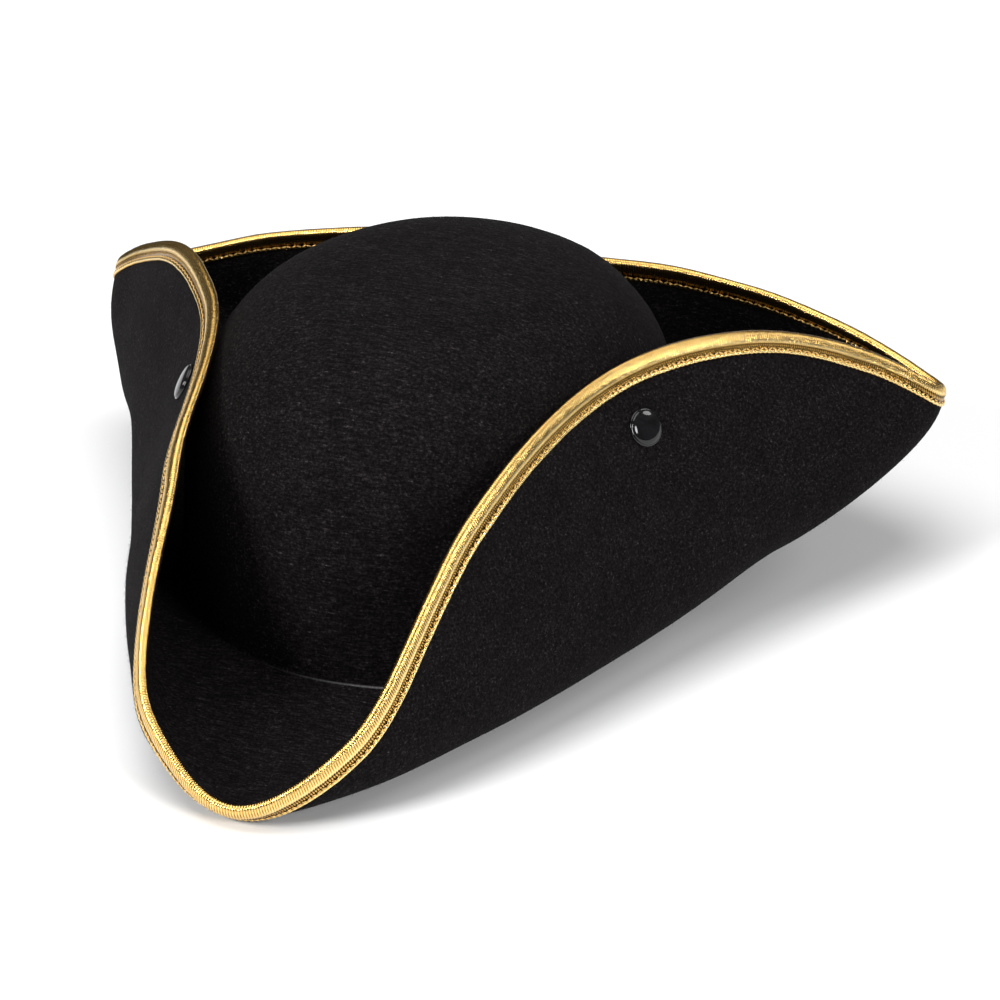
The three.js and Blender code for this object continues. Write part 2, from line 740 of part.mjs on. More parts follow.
// Stand the hat with its lowest point at height 0 and its box centred.
const whole = new THREE.Box3();
solids.forEach((s) => {
  const box = s.body.boundingBox();
  whole.expandByPoint(vec(...box.min));
  whole.expandByPoint(vec(...box.max));
});
const centre = whole.getCenter(vec(0, 0, 0));
export const SHIFT = vec(-centre.x, -centre.y, -whole.min.z);

solids.forEach(({ name, body: solid, material }) => {
  const mesh = new THREE.Mesh(
    toGeometry(solid.translate([SHIFT.x, SHIFT.y, SHIFT.z])),
    new THREE.MeshStandardMaterial({ name: material, ...MATERIALS[material] }),
  );
  mesh.name = name;
  hat.add(mesh);
});

// Fold axes of the flaps, in the frame of the finished hat.
export const HINGES = FLAPS.map((flap) => ({
  name: flap.name,
  point: flap.pivot.clone().add(SHIFT),
  axis: flap.line.clone(),
  normal: flap.normal.clone(),
  offset: flap.offset + flap.normal.dot(SHIFT),
}));

export default hat;
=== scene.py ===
"""Looks of a three-cornered felt hat: nap felt, a folded gold tape with its stitches, and domed press studs.

Metres, +Z up, front corner towards -Y. The felt is one surface that is worked out here from
the same sizes as its solid, and everything that lies on the felt is placed from that surface.
The brim's three flaps are made as pieces of their own, cut off along the lines that part them from the body
of the hat.
"""
import math

import bmesh
import bpy
import numpy as np
from mathutils import Matrix, Vector


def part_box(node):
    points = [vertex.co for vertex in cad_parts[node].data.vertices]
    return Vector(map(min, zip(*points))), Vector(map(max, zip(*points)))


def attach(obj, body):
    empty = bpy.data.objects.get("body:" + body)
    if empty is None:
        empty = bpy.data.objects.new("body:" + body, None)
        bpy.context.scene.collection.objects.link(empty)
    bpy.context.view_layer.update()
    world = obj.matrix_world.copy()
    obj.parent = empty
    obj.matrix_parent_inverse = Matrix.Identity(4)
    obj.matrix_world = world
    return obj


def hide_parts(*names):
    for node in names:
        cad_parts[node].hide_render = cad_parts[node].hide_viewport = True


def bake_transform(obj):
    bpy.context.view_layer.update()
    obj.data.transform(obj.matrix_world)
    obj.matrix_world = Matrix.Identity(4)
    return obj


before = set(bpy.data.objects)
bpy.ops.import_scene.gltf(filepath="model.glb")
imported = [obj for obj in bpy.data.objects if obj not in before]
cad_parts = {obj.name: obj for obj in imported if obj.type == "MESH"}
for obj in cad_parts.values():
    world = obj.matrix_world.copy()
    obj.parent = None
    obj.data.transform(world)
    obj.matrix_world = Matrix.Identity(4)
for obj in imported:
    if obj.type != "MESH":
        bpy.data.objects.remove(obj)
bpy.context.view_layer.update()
MM = 0.001

# ---- the shape of the felt, in millimetres, as in its solid --------------------------
CROWN_HALF_WIDTH = 88.5
CROWN_HALF_LENGTH = 101.0
CROWN_HEIGHT = 112.0
CROWN_TAPER = 0.03
CROWN_SHOULDER = 3.5
FELT = 2.5
HALF_FELT = FELT / 2
# the rim from the front corner to the back: turn in degrees, gap from the crown, height
RIM = [
    (0, 88, -2), (12, 77, 21), (28, 31, 75), (74, 9, 95), (103, 40, 94), (115, 72, 73),
    (118, 93, 55.5), (121.5, 94.5, 51.5), (135, 68, 62.5), (154, 39, 70), (180, 9, 77),
]
RIM_WALL_TOP = 0.86
# where the brim turns up, every 30 degrees: out from the crown, height
FOLD = [(85, -15), (54, -9), (36, 2), (52, 14), (98, 30), (64, 22), (28, 0)]
FOLD_PULL = 0.74
CORNER_FAN = 0.03
CORNER_SPREAD = 0.03
SPLIT_LIFT = 4.0
SIDE_SPLIT_DROP = 0.5
BACK_SPLIT_DROP = 0.95

# ---- press studs ------------------------------------------------------------------
STUD_FROM_RIM = {"right": 22.0, "back": 22.0, "left": 17.0}
STUD_BACK = {"right": 19.0, "back": 0.0, "left": 7.0}  # along the rim from its nearest point
CAP_RADIUS = 6.8

# ---- how finely the surfaces are divided ---------------------------------------------
HALF_STATIONS = 216
DOME_ROWS = 24
WALL_ROWS = 14
CREASE_ROWS = 5
BRIM_ROWS = 52
CREASE_RADIUS = 3.2
GENERATOR_STEPS = 72

TURN = 2 * math.pi


def unit(v):
    return v / np.maximum(np.linalg.norm(v, axis=-1, keepdims=True), 1e-12)


# ================================ the felt's surface ===================================
def crown_scale(z):
    q = np.clip(z / CROWN_HEIGHT, 0, 1)
    return (1 - q**CROWN_SHOULDER) ** (1 / CROWN_SHOULDER) * (1 - CROWN_TAPER * q)


def crown_point(turn, lift):
    """On the crown: lift runs from 0 at the brim to a quarter turn at the top."""
    share = np.sin(lift) ** (2 / CROWN_SHOULDER)
    r = np.cos(lift) ** (2 / CROWN_SHOULDER) * (1 - CROWN_TAPER * share)
    a = turn * TURN
    return np.stack(
        [CROWN_HALF_WIDTH * r * np.sin(a), -CROWN_HALF_LENGTH * r * np.cos(a),
         CROWN_HEIGHT * share + 0 * a], axis=-1)


def wall_point(turn, z):
    k = crown_scale(z)
    a = turn * TURN
    return np.stack(
        [CROWN_HALF_WIDTH * k * np.sin(a), -CROWN_HALF_LENGTH * k * np.cos(a), z + 0 * a], axis=-1)


def rim_node(turn, gap, z):
    k = crown_scale(min(max(z, 0), RIM_WALL_TOP * CROWN_HEIGHT))
    a, b, t = CROWN_HALF_WIDTH * k, CROWN_HALF_LENGTH * k, math.radians(turn)
    out = unit(np.array([math.sin(t) / a, -math.cos(t) / b, 0.0]))
    return np.array([a * math.sin(t), -b * math.cos(t), z]) + out * gap


def closed_curve(nodes, divisions=2400):
    """A closed centripetal curve through the nodes, as a function of the share of its length."""
    count = len(nodes)

    def spline(t):
        p = t * count
        i = np.floor(p).astype(int)
        f = (p - i)[:, None]
        a, b, c, d = (nodes[(i + k) % count] for k in (-1, 0, 1, 2))
        steps = [(((y - x) ** 2).sum(1) ** 0.25)[:, None] for x, y in ((a, b), (b, c), (c, d))]
        s0, s1, s2 = steps
        m1 = ((b - a) / s0 - (c - a) / (s0 + s1) + (c - b) / s1) * s1
        m2 = ((c - b) / s1 - (d - b) / (s1 + s2) + (d - c) / s2) * s1
        return b + f * (m1 + f * ((3 * (c - b) - 2 * m1 - m2) + f * (2 * (b - c) + m1 + m2)))

    t = np.linspace(0, 1, divisions + 1)
    points = spline(t)
    length = np.concatenate([[0], np.cumsum(np.linalg.norm(np.diff(points, axis=0), axis=1))])

    def at(u):
        return spline(np.interp(np.mod(u, 1) * length[-1], length, t))

    return at, length[-1]


right_rim = [rim_node(*row) for row in RIM]
left_rim = [p * [-1, 1, 1] for p in reversed(right_rim[1:-1])]
rim_point, RIM_LENGTH = closed_curve(np.array(right_rim + left_rim))
FOLD_ROWS = np.array(FOLD + FOLD[-2:0:-1], float)


def fold_point(turn):
    x = np.mod(turn, 1) * len(FOLD_ROWS)
    i = np.floor(x).astype(int)
    f = (x - i)[:, None]
    p, q, r, s = (FOLD_ROWS[(i + k) % len(FOLD_ROWS)] for k in (-1, 0, 1, 2))
    row = q + 0.5 * f * (r - p + f * ((2 * p - 5 * q + 4 * r - s) + f * (3 * (q - r) + s - p)))
    sin, cos = np.sin(turn * TURN), np.cos(turn * TURN)
    reach = 1 / np.hypot(sin / CROWN_HALF_WIDTH, cos / CROWN_HALF_LENGTH) + row[:, 0]
    return np.stack([sin * reach, -cos * reach, row[:, 1]], axis=-1)


# the side corner is where the rim is furthest out
search = np.arange(0.2, 0.45, 0.0005)
CORNER = float(search[np.argmax(np.hypot(*rim_point(search)[:, :2].T))])


def base_turn(u):
    """Where a line across the brim starts on the crown: the lines fan out to a side corner."""
    w = np.mod(u, 1)
    out = u.copy() if isinstance(u, np.ndarray) else u
    for centre in (CORNER, 1 - CORNER):
        x = (w - centre) / CORNER_SPREAD
        out = out + CORNER_FAN * x * np.exp(0.5 * (1 - x * x))
    return out


def brim_point(u, t):
    """On the brim: u round the rim, t from 0 at the crown to 1 at the rim. Same-length arrays."""
    turn = base_turn(u)
    start, end, fold = wall_point(turn, np.zeros_like(turn)), rim_point(u), fold_point(turn)
    near, far = start + (fold - start) * FOLD_PULL, end + (fold - end) * FOLD_PULL
    t = np.asarray(t)[:, None]
    s = 1 - t
    return s**3 * start + 3 * s * s * t * near + 3 * s * t * t * far + t**3 * end


def brim_normal(u, t):
    h = 0.0015
    du = brim_point(u + h, t) - brim_point(u - h, t)
    dv = brim_point(u, np.minimum(t + h, 1)) - brim_point(u, np.maximum(t - h, 0))
    return unit(np.cross(dv, du))


def across(us):
    """For each place on the rim, the brim's width there and the t at a distance from the crown."""
    ts = np.linspace(0, 1, GENERATOR_STEPS + 1)
    points = np.stack([brim_point(us, np.full(len(us), t)) for t in ts], axis=1)
    steps = np.linalg.norm(np.diff(points, axis=1), axis=2)
    lengths = np.concatenate([np.zeros((len(us), 1)), np.cumsum(steps, axis=1)], axis=1)

    def t_at(distance):
        """distance: one column per row wanted, in millimetres from the crown."""
        return np.stack([np.interp(d, row, ts) for d, row in zip(distance, lengths)])

    return lengths[:, -1], t_at


# the slight unevenness of a blocked felt: long waves through the whole hat, in millimetres,
# that move a point by about 0.4 on average and by 1.1 at most
SETTLE_WAVES = 9
SETTLE_LENGTHS = (38, 90)
SETTLE_PUSH = 0.11
SETTLE_SEED = 11


def settled(points):
    """The felt's surface wanders a little, and all that lies on the felt wanders with it."""
    chance = np.random.RandomState(SETTLE_SEED)
    moved = np.array(points, float)
    for _ in range(SETTLE_WAVES):
        wave = unit(chance.normal(size=3)) * TURN / chance.uniform(*SETTLE_LENGTHS)
        push = chance.normal(size=3) * SETTLE_PUSH
        moved += np.sin(points @ wave + chance.uniform(0, TURN))[..., None] * push
    return moved


# ---- where the finished hat stands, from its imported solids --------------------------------
felt_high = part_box("felt_crown_brim")[1]
band_low, band_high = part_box("sweatband")
HEAD_CENTRE = np.array([
    0.0,
    (band_low.y + band_high.y) / 2 / MM,
    felt_high.z / MM - CROWN_HEIGHT - HALF_FELT,
])


def placed(points):
    """From millimetres about the head's centre to the row frame."""
    return (settled(points) + HEAD_CENTRE) * MM


def spot(point):
    """One unsettled point in the row frame."""
    return Vector((np.asarray(point) + HEAD_CENTRE) * MM)


# ================================ where the flaps part from the body ========================
class Flap:
    """A flap of the brim between two corners, and the slanting plane that parts it off."""

    def __init__(self, name, start, end, drop, bend):
        self.name, self.start, self.end, self.bend = name, start, end, bend
        self.body = f"{name}_flap"
        a, b = rim_point(np.array([start, end])) + [0, 0, SPLIT_LIFT]
        line = unit(b - a)
        out = unit(np.array([line[1], -line[0], 0]))
        self.normal = unit(np.cross(out - [0, 0, drop], line))
        self.point = a

    def height(self, points):
        return (points - self.point) @ self.normal


FLAPS = [
    Flap("right", 0.0, CORNER, SIDE_SPLIT_DROP, 30.0),
    Flap("back", CORNER, 1 - CORNER, BACK_SPLIT_DROP, 6.5),
    Flap("left", 1 - CORNER, 1.0, SIDE_SPLIT_DROP, 30.0),
]


def bends(piece):
    """Bakes the piece's transform into its mesh."""
    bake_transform(piece)


# ================================ making meshes =========================================
def new_object(name, points, faces, relief=None, crease=None):
    mesh = bpy.data.meshes.new(name)
    mesh.from_pydata(points.tolist(), [], faces.tolist() if hasattr(faces, "tolist") else faces)
    for label, values in (("relief", relief), ("crease", crease)):
        if values is not None:
            layer = mesh.attributes.new(label, "FLOAT", "POINT")
            layer.data.foreach_set("value", np.asarray(values, np.float32))
    mesh.update()
    made = bpy.data.objects.new(name, mesh)
    bpy.context.scene.collection.objects.link(made)
    return made


def with_uv(piece, uv):
    """Gives the piece a map called cloth: one place for each of its points."""
    layer = piece.data.uv_layers.new(name="cloth")
    index = np.zeros(len(piece.data.loops), int)
    piece.data.loops.foreach_get("vertex_index", index)
    layer.data.foreach_set("uv", np.asarray(uv)[index].astype(np.float32).ravel())


def ring_faces(stations, ring, closed):
    """Quads between neighbouring rings of points, each ring closed on itself."""
    i = np.arange(stations if closed else stations - 1)[:, None]
    j = np.arange(ring)[None, :]
    a, b = i * ring, ((i + 1) % stations) * ring
    k = (j + 1) % ring
    return np.stack([a + j, a + k, b + k, b + j], axis=-1).reshape(-1, 4)


def outward(mesh_object):
    """Turns a closed mesh the right way out, by the sign of its volume."""
    bm = bmesh.new()
    bm.from_mesh(mesh_object.data)
    if bm.calc_volume(signed=True) < 0:
        bmesh.ops.reverse_faces(bm, faces=bm.faces)
    bm.to_mesh(mesh_object.data)
    bm.free()


def smooth(piece, angle=40.0):
    bpy.ops.object.select_all(action="DESELECT")
    piece.select_set(True)
    bpy.context.view_layer.objects.active = piece
    bpy.ops.object.shade_smooth_by_angle(angle=math.radians(angle))


CUT_TOLERANCE = 1e-6


def cut(bm, flap, faces, keep_above):
    """Cuts those faces along the flap's plane, drops one side, and closes the cut."""
    geometry = set(faces)
    for f in faces:
        geometry.update(f.edges)
        geometry.update(f.verts)
    point, normal = spot(flap.point), Vector(flap.normal)
    made = bmesh.ops.bisect_plane(
        bm, geom=list(geometry), dist=CUT_TOLERANCE, plane_co=point, plane_no=normal,
        clear_inner=keep_above, clear_outer=not keep_above)
    on_cut = [v for v in made["geom_cut"] if isinstance(v, bmesh.types.BMVert)]
    bmesh.ops.remove_doubles(bm, verts=on_cut, dist=2 * CUT_TOLERANCE)
    edges = [e for e in bm.edges if e.is_boundary
             and all(abs((v.co - point).dot(normal)) < 5 * CUT_TOLERANCE for v in e.verts)]
    bmesh.ops.holes_fill(bm, edges=edges, sides=0)


# ================================ stations and rows ====================================
# stations stand closer at the side corners and at the front: how much, and how far round
CORNER_CROWDING, CORNER_CROWDING_WIDTH = 1.6, 0.03
FRONT_CROWDING, FRONT_CROWDING_WIDTH = 0.7, 0.05
# rows down the dome: how they spread, and the share of the dome above the wall's rows
DOME_SPREAD, DOME_SHARE = 1.35, 0.86


def half_stations():
    fine = 4000
    u = (np.arange(fine) + 0.5) * 0.5 / fine
    density = 1 + CORNER_CROWDING * np.exp(-((u - CORNER) / CORNER_CROWDING_WIDTH) ** 2)
    density += FRONT_CROWDING * np.exp(-((u / FRONT_CROWDING_WIDTH) ** 2))
    total = np.concatenate([[0], np.cumsum(density)])
    wanted = total[-1] * np.arange(HALF_STATIONS + 1) / HALF_STATIONS
    stations = np.interp(wanted, total, np.arange(fine + 1) * 0.5 / fine)
    near = int(np.argmin(np.abs(stations - CORNER)))
    stations[near] = CORNER
    return stations, near


half, corner_index = half_stations()
STATIONS = np.concatenate([half, 1 - half[-2:0:-1]])
COUNT = len(STATIONS)
SECTORS = [(0, corner_index), (corner_index, COUNT - corner_index), (COUNT - corner_index, COUNT)]


def felt_profiles():
    """The felt's middle surface: for each station a line from near the crown's top to the rim."""
    turn = base_turn(STATIONS)
    rows = []
    for k in range(1, DOME_ROWS + 1):
        lift = 0.5 * math.pi * (1 - (k / DOME_ROWS) ** DOME_SPREAD * DOME_SHARE)
        rows.append(crown_point(turn, np.full(COUNT, lift)))
    foot = rows[-1][0, 2]
    for k in range(1, WALL_ROWS + 1):
        z = foot + (CREASE_RADIUS - foot) * k / WALL_ROWS
        rows.append(wall_point(turn, np.full(COUNT, z)))
    total, t_at = across(STATIONS)
    distances = np.linspace(0, 1, BRIM_ROWS) * (total - CREASE_RADIUS)[:, None] + CREASE_RADIUS
    ts = t_at(distances)
    brim = [brim_point(STATIONS, ts[:, j]) for j in range(BRIM_ROWS)]
    wall_end, base = rows[-1], wall_point(turn, np.zeros(COUNT))
    for k in range(1, CREASE_ROWS + 1):
        f = k / (CREASE_ROWS + 1)
        rows.append((1 - f) ** 2 * wall_end + 2 * f * (1 - f) * base + f * f * brim[0])
    return np.stack(rows + brim, axis=1)


def grid_normals(grid):
    du = np.roll(grid, -1, axis=0) - np.roll(grid, 1, axis=0)
    dv = np.gradient(grid, axis=1)
    return unit(np.cross(dv, du))


PROFILES = felt_profiles()
PROFILE_NORMALS = grid_normals(PROFILES)
ROWS = PROFILES.shape[1]
CREASE_ROW = DOME_ROWS + WALL_ROWS + CREASE_ROWS // 2
BODY_ROWS = DOME_ROWS + WALL_ROWS + CREASE_ROWS


# ================================ materials =============================================
def new_material(name):
    made = bpy.data.materials.new(name)
    made.use_nodes = True
    nodes, links = made.node_tree.nodes, made.node_tree.links
    return made, nodes, links, nodes["Principled BSDF"]


def noise(nodes, links, vector, scale, detail=4.0, roughness=0.6, distortion=0.0):
    made = nodes.new("ShaderNodeTexNoise")
    made.inputs["Scale"].default_value = scale
    made.inputs["Detail"].default_value = detail
    made.inputs["Roughness"].default_value = roughness
    made.inputs["Distortion"].default_value = distortion
    links.new(vector, made.inputs["Vector"])
    return made.outputs["Fac"]


def turned_mapping(nodes, links, vector, rotation, scale):
    made = nodes.new("ShaderNodeMapping")
    made.inputs["Rotation"].default_value = rotation
    made.inputs["Scale"].default_value = scale
    links.new(vector, made.inputs["Vector"])
    return made.outputs["Vector"]


def math_node(nodes, links, operation, a, b):
    made = nodes.new("ShaderNodeMath")
    made.operation = operation
    for socket, value in zip(made.inputs, (a, b)):
        if isinstance(value, (int, float)):
            socket.default_value = value
        else:
            links.new(value, socket)
    return made.outputs[0]


def ramp(nodes, links, value, stops):
    made = nodes.new("ShaderNodeValToRGB")
    elements = made.color_ramp.elements
    while len(elements) < len(stops):
        elements.new(0.5)
    for element, (place, colour) in zip(elements, stops):
        element.position = place
        element.color = (*colour, 1.0)
    links.new(value, made.inputs["Fac"])
    return made.outputs["Color"]


def mixed(nodes, links, share, a, b, blend_type="MIX"):
    made = nodes.new("ShaderNodeMix")
    made.data_type = "RGBA"
    made.blend_type = blend_type
    for name, value in (("Factor", share), ("A", a), ("B", b)):
        socket = next(s for s in made.inputs if s.name == name and s.enabled)
        if isinstance(value, (int, float)):
            socket.default_value = value
        elif isinstance(value, tuple):
            socket.default_value = (*value, 1.0)
        else:
            links.new(value, socket)
    return next(s for s in made.outputs if s.enabled)


def bump(nodes, links, height, distance, strength=1.0, after=None):
    made = nodes.new("ShaderNodeBump")
    made.inputs["Distance"].default_value = distance
    made.inputs["Strength"].default_value = strength
    links.new(height, made.inputs["Height"])
    if after is not None:
        links.new(after, made.inputs["Normal"])
    return made.outputs["Normal"]


def object_coordinates(nodes):
    return nodes.new("ShaderNodeTexCoord").outputs["Object"]


def attribute(nodes, name):
    made = nodes.new("ShaderNodeAttribute")
    made.attribute_name = name
    return made.outputs["Fac"]


def felt_material():
    """Pressed black felt: matted fibres lying every way, a short nap, and a painted highlight along the
    crease.
    """
    made, nodes, links, shader = new_material("black_felt")
    place = object_coordinates(nodes)
    fibres = None
    for rotation in ((0.3, 0.5, 0.2), (1.3, 0.4, 1.1), (0.7, 1.5, 2.2), (2.1, 0.9, 0.6)):
        turned = turned_mapping(nodes, links, place, rotation, (0.13, 1.0, 1.0))
        strand = noise(nodes, links, turned, 1300, detail=2.0, roughness=0.5)
        fibres = strand if fibres is None else math_node(nodes, links, "MAXIMUM", fibres, strand)
    grain = noise(nodes, links, place, 950, detail=5.0, roughness=0.75)
    cloud = noise(nodes, links, place, 60, detail=3.0)
    shade = math_node(nodes, links, "MULTIPLY", fibres, grain)
    colour = ramp(nodes, links, shade, [
        (0.24, (0.0024, 0.0020, 0.0021)), (0.34, (0.0085, 0.0071, 0.0075)),
        (0.43, (0.0250, 0.0212, 0.0222)), (0.58, (0.140, 0.120, 0.125))])
    patch = ramp(nodes, links, cloud, [(0.3, (0.8, 0.8, 0.8)), (0.7, (1.2, 1.2, 1.2))])
    colour = mixed(nodes, links, 1.0, colour, patch, "MULTIPLY")
    # painted highlight: along the crease the felt is mixed toward light grey, broken by the grain, as where
    # it catches the light
    highlight = attribute(nodes, "crease")
    highlight = math_node(nodes, links, "MULTIPLY", highlight, grain)
    colour = mixed(nodes, links, highlight, colour, (0.34, 0.33, 0.34))
    links.new(colour, shader.inputs["Base Color"])
    shader.inputs["Roughness"].default_value = 0.95
    shader.inputs["Specular IOR Level"].default_value = 0.05
    shader.inputs["Sheen Weight"].default_value = 0.012
    shader.inputs["Sheen Roughness"].default_value = 0.45
    shader.inputs["Sheen Tint"].default_value = (0.75, 0.72, 0.74, 1.0)
    rough = bump(nodes, links, fibres, 0.00035, 0.7)
    rough = bump(nodes, links, grain, 0.0005, 0.6, rough)
    pressed = noise(nodes, links, place, 170, detail=3.0)
    rough = bump(nodes, links, pressed, 0.0009, 0.5, rough)
    links.new(rough, shader.inputs["Normal"])
    return made


def fibre_material():
    """Loose wool fibres: dark, with some greyed ones among them."""
    made, nodes, links, shader = new_material("black_felt_fibre")
    place = object_coordinates(nodes)
    shade = noise(nodes, links, place, 260, detail=2.0, roughness=0.8)
    colour = ramp(nodes, links, shade, [
        (0.40, (0.0060, 0.0050, 0.0054)), (0.55, (0.016, 0.0135, 0.0142)),
        (0.66, (0.10, 0.088, 0.09))])
    links.new(colour, shader.inputs["Base Color"])
    shader.inputs["Roughness"].default_value = 0.9
    shader.inputs["Specular IOR Level"].default_value = 0.1
    return made


ZIGZAG_FROM_RIM, ZIGZAG_SWING, ZIGZAG_HALF_WIDTH = 3.7, 0.75, 0.24


def zigzag(nodes, links):
    """A dark line that swings from side to side every other rib, from the tape's own map."""
    map_node = nodes.new("ShaderNodeUVMap")
    map_node.uv_map = "cloth"
    parts = nodes.new("ShaderNodeSeparateXYZ")
    links.new(map_node.outputs["UV"], parts.inputs["Vector"])
    swing = math_node(nodes, links, "PINGPONG", parts.outputs["X"], 1.0)
    middle = math_node(nodes, links, "MULTIPLY", swing, ZIGZAG_SWING)
    middle = math_node(nodes, links, "ADD", middle, ZIGZAG_FROM_RIM)
    off = math_node(nodes, links, "SUBTRACT", parts.outputs["Y"], middle)
    off = math_node(nodes, links, "ABSOLUTE", off, 0.0)
    line = nodes.new("ShaderNodeMapRange")
    line.interpolation_type = "SMOOTHSTEP"
    line.inputs["From Min"].default_value = ZIGZAG_HALF_WIDTH * 0.4
    line.inputs["From Max"].default_value = ZIGZAG_HALF_WIDTH
    line.inputs["To Min"].default_value = 0.45
    line.inputs["To Max"].default_value = 0.0
    links.new(off, line.inputs["Value"])
    return line.outputs["Result"]


def gold_material(name, pale, middle, dark, roughness, metallic, zigzagged):
    """Metallic yarn: a painted highlight on the ribs and painted shade in the grooves, from the relief
    attribute, with a fine twist.
    """
    made, nodes, links, shader = new_material(name)
    place = object_coordinates(nodes)
    relief = attribute(nodes, "relief")
    mottle = noise(nodes, links, place, 700, detail=4.0, roughness=0.7)
    level = math_node(nodes, links, "ADD", relief, math_node(nodes, links, "MULTIPLY", mottle, 0.4))
    level = math_node(nodes, links, "SUBTRACT", level, 0.2)
    if zigzagged:
        level = math_node(nodes, links, "SUBTRACT", level, zigzag(nodes, links))
    colour = ramp(nodes, links, level, [(0.12, dark), (0.5, middle), (0.95, pale)])
    links.new(colour, shader.inputs["Base Color"])
    shader.inputs["Metallic"].default_value = metallic
    shader.inputs["Roughness"].default_value = roughness
    yarn = noise(nodes, links, place, 2600, detail=2.0)
    links.new(bump(nodes, links, yarn, 0.0002, 0.5), shader.inputs["Normal"])
    return made


def plastic_material(name, roughness, coat):
    """Black moulded plastic with faint swirl marks."""
    made, nodes, links, shader = new_material(name)
    place = object_coordinates(nodes)
    swirl = noise(nodes, links, place, 180, detail=3.0, distortion=1.5)
    colour = ramp(nodes, links, swirl, [(0.35, (0.004, 0.004, 0.0045)), (0.7, (0.009, 0.009, 0.01))])
    links.new(colour, shader.inputs["Base Color"])
    rough = nodes.new("ShaderNodeMapRange")
    rough.inputs["To Min"].default_value = roughness * 0.8
    rough.inputs["To Max"].default_value = roughness * 1.3
    links.new(swirl, rough.inputs["Value"])
    links.new(rough.outputs["Result"], shader.inputs["Roughness"])
    shader.inputs["Specular IOR Level"].default_value = 0.25
    shader.inputs["Coat Weight"].default_value = coat
    shader.inputs["Coat Roughness"].default_value = 0.04
    fine = noise(nodes, links, place, 900, detail=2.0)
    links.new(bump(nodes, links, fine, 0.0001, 0.08), shader.inputs["Normal"])
    return made


def woven_material(name, light, dark, rib, sheen):
    """A closely woven ribbon: ribs across it, which its own UV map sets out."""
    made, nodes, links, shader = new_material(name)
    map_node = nodes.new("ShaderNodeUVMap")
    map_node.uv_map = "cloth"
    warp = turned_mapping(nodes, links, map_node.outputs["UV"], (0, 0, 0), (1 / rib, 1 / rib, 1))
    weave = nodes.new("ShaderNodeTexWave")
    weave.wave_type, weave.bands_direction = "BANDS", "X"
    weave.inputs["Scale"].default_value = 0.314
    links.new(warp, weave.inputs["Vector"])
    weft = nodes.new("ShaderNodeTexWave")
    weft.wave_type, weft.bands_direction = "BANDS", "Y"
    weft.inputs["Scale"].default_value = 0.62
    links.new(warp, weft.inputs["Vector"])
    threads = math_node(nodes, links, "MULTIPLY", weave.outputs["Fac"], weft.outputs["Fac"])
    threads = math_node(nodes, links, "ADD", threads, weave.outputs["Fac"])
    place = object_coordinates(nodes)
    lint = noise(nodes, links, place, 1200, detail=3.0)
    shade = math_node(nodes, links, "MULTIPLY", math_node(nodes, links, "ADD", threads, lint), 0.4)
    links.new(ramp(nodes, links, shade, [(0.1, dark), (0.75, light)]), shader.inputs["Base Color"])
    shader.inputs["Roughness"].default_value = 0.8
    shader.inputs["Sheen Weight"].default_value = sheen
    links.new(bump(nodes, links, threads, 0.0003, 0.6), shader.inputs["Normal"])
    return made


FELT_BLACK = felt_material()
FELT_FIBRE = fibre_material()
GOLD_TAPE = gold_material(
    "gold_tape", (1.0, 0.78, 0.35), (0.66, 0.375, 0.085), (0.025, 0.013, 0.002), 0.20, 1.0, True)
GOLD_THREAD = gold_material(
    "gold_thread", (0.95, 0.66, 0.26), (0.70, 0.38, 0.09), (0.30, 0.14, 0.03), 0.4, 0.8, False)
CAP_PLASTIC = plastic_material("glossy_black_plastic", 0.08, 0.3)
STUD_PLASTIC = plastic_material("satin_black_plastic", 0.38, 0.0)
BAND_RIBBON = woven_material("black_ribbon", (0.022, 0.022, 0.026), (0.004, 0.004, 0.005), 0.0008, 0.2)
LABEL_SATIN = woven_material("label_satin", (0.80, 0.79, 0.75), (0.50, 0.49, 0.46), 0.0003, 0.1)
DARK_THREAD = woven_material("dark_thread", (0.03, 0.03, 0.034), (0.008, 0.008, 0.009), 0.0004, 0.2)


# the stretch of the crease with a painted highlight: its middle and its width, in turns from the front
# corner
HIGHLIGHT_MIDDLE, HIGHLIGHT_WIDTH = 0.055, 0.055


def crease_highlight():
    """How strong the painted highlight is along the bottom of the crown: most beside the front corner."""
    turn = np.mod(STATIONS + 0.5, 1) - 0.5
    highlight = np.exp(-((turn - HIGHLIGHT_MIDDLE) / HIGHLIGHT_WIDTH) ** 2)
    highlight_rows = np.zeros((COUNT, ROWS))
    highlight_rows[:, CREASE_ROW] = highlight
    return highlight_rows


def whole_skin():
    """The whole felt as one closed skin, and for each face its flap's number or 0."""
    top = placed(PROFILES + PROFILE_NORMALS * HALF_FELT)
    low = placed(PROFILES - PROFILE_NORMALS * HALF_FELT)
    poles = placed(np.array([[0, 0, CROWN_HEIGHT + HALF_FELT], [0, 0, CROWN_HEIGHT - HALF_FELT]]))
    ring = np.concatenate([top, low[:, ::-1]], axis=1)
    points = np.concatenate([ring.reshape(-1, 3), poles])
    width = 2 * ROWS
    faces = ring_faces(COUNT, width, True).reshape(COUNT, width, 4)[:, :-1].reshape(-1, 4).tolist()
    sector = []
    for i in range(COUNT):
        s = next(k for k, (a, b) in enumerate(SECTORS) if a <= i < b) + 1
        for j in range(width - 1):
            row = min(j, width - 2 - j)
            sector.append(s if row >= BODY_ROWS else 0)
    first = len(points) - 2
    for i in range(COUNT):
        k = (i + 1) % COUNT
        faces.append([first, i * width, k * width])
        faces.append([first + 1, k * width + width - 1, i * width + width - 1])
        sector += [0, 0]
    return points, faces, sector


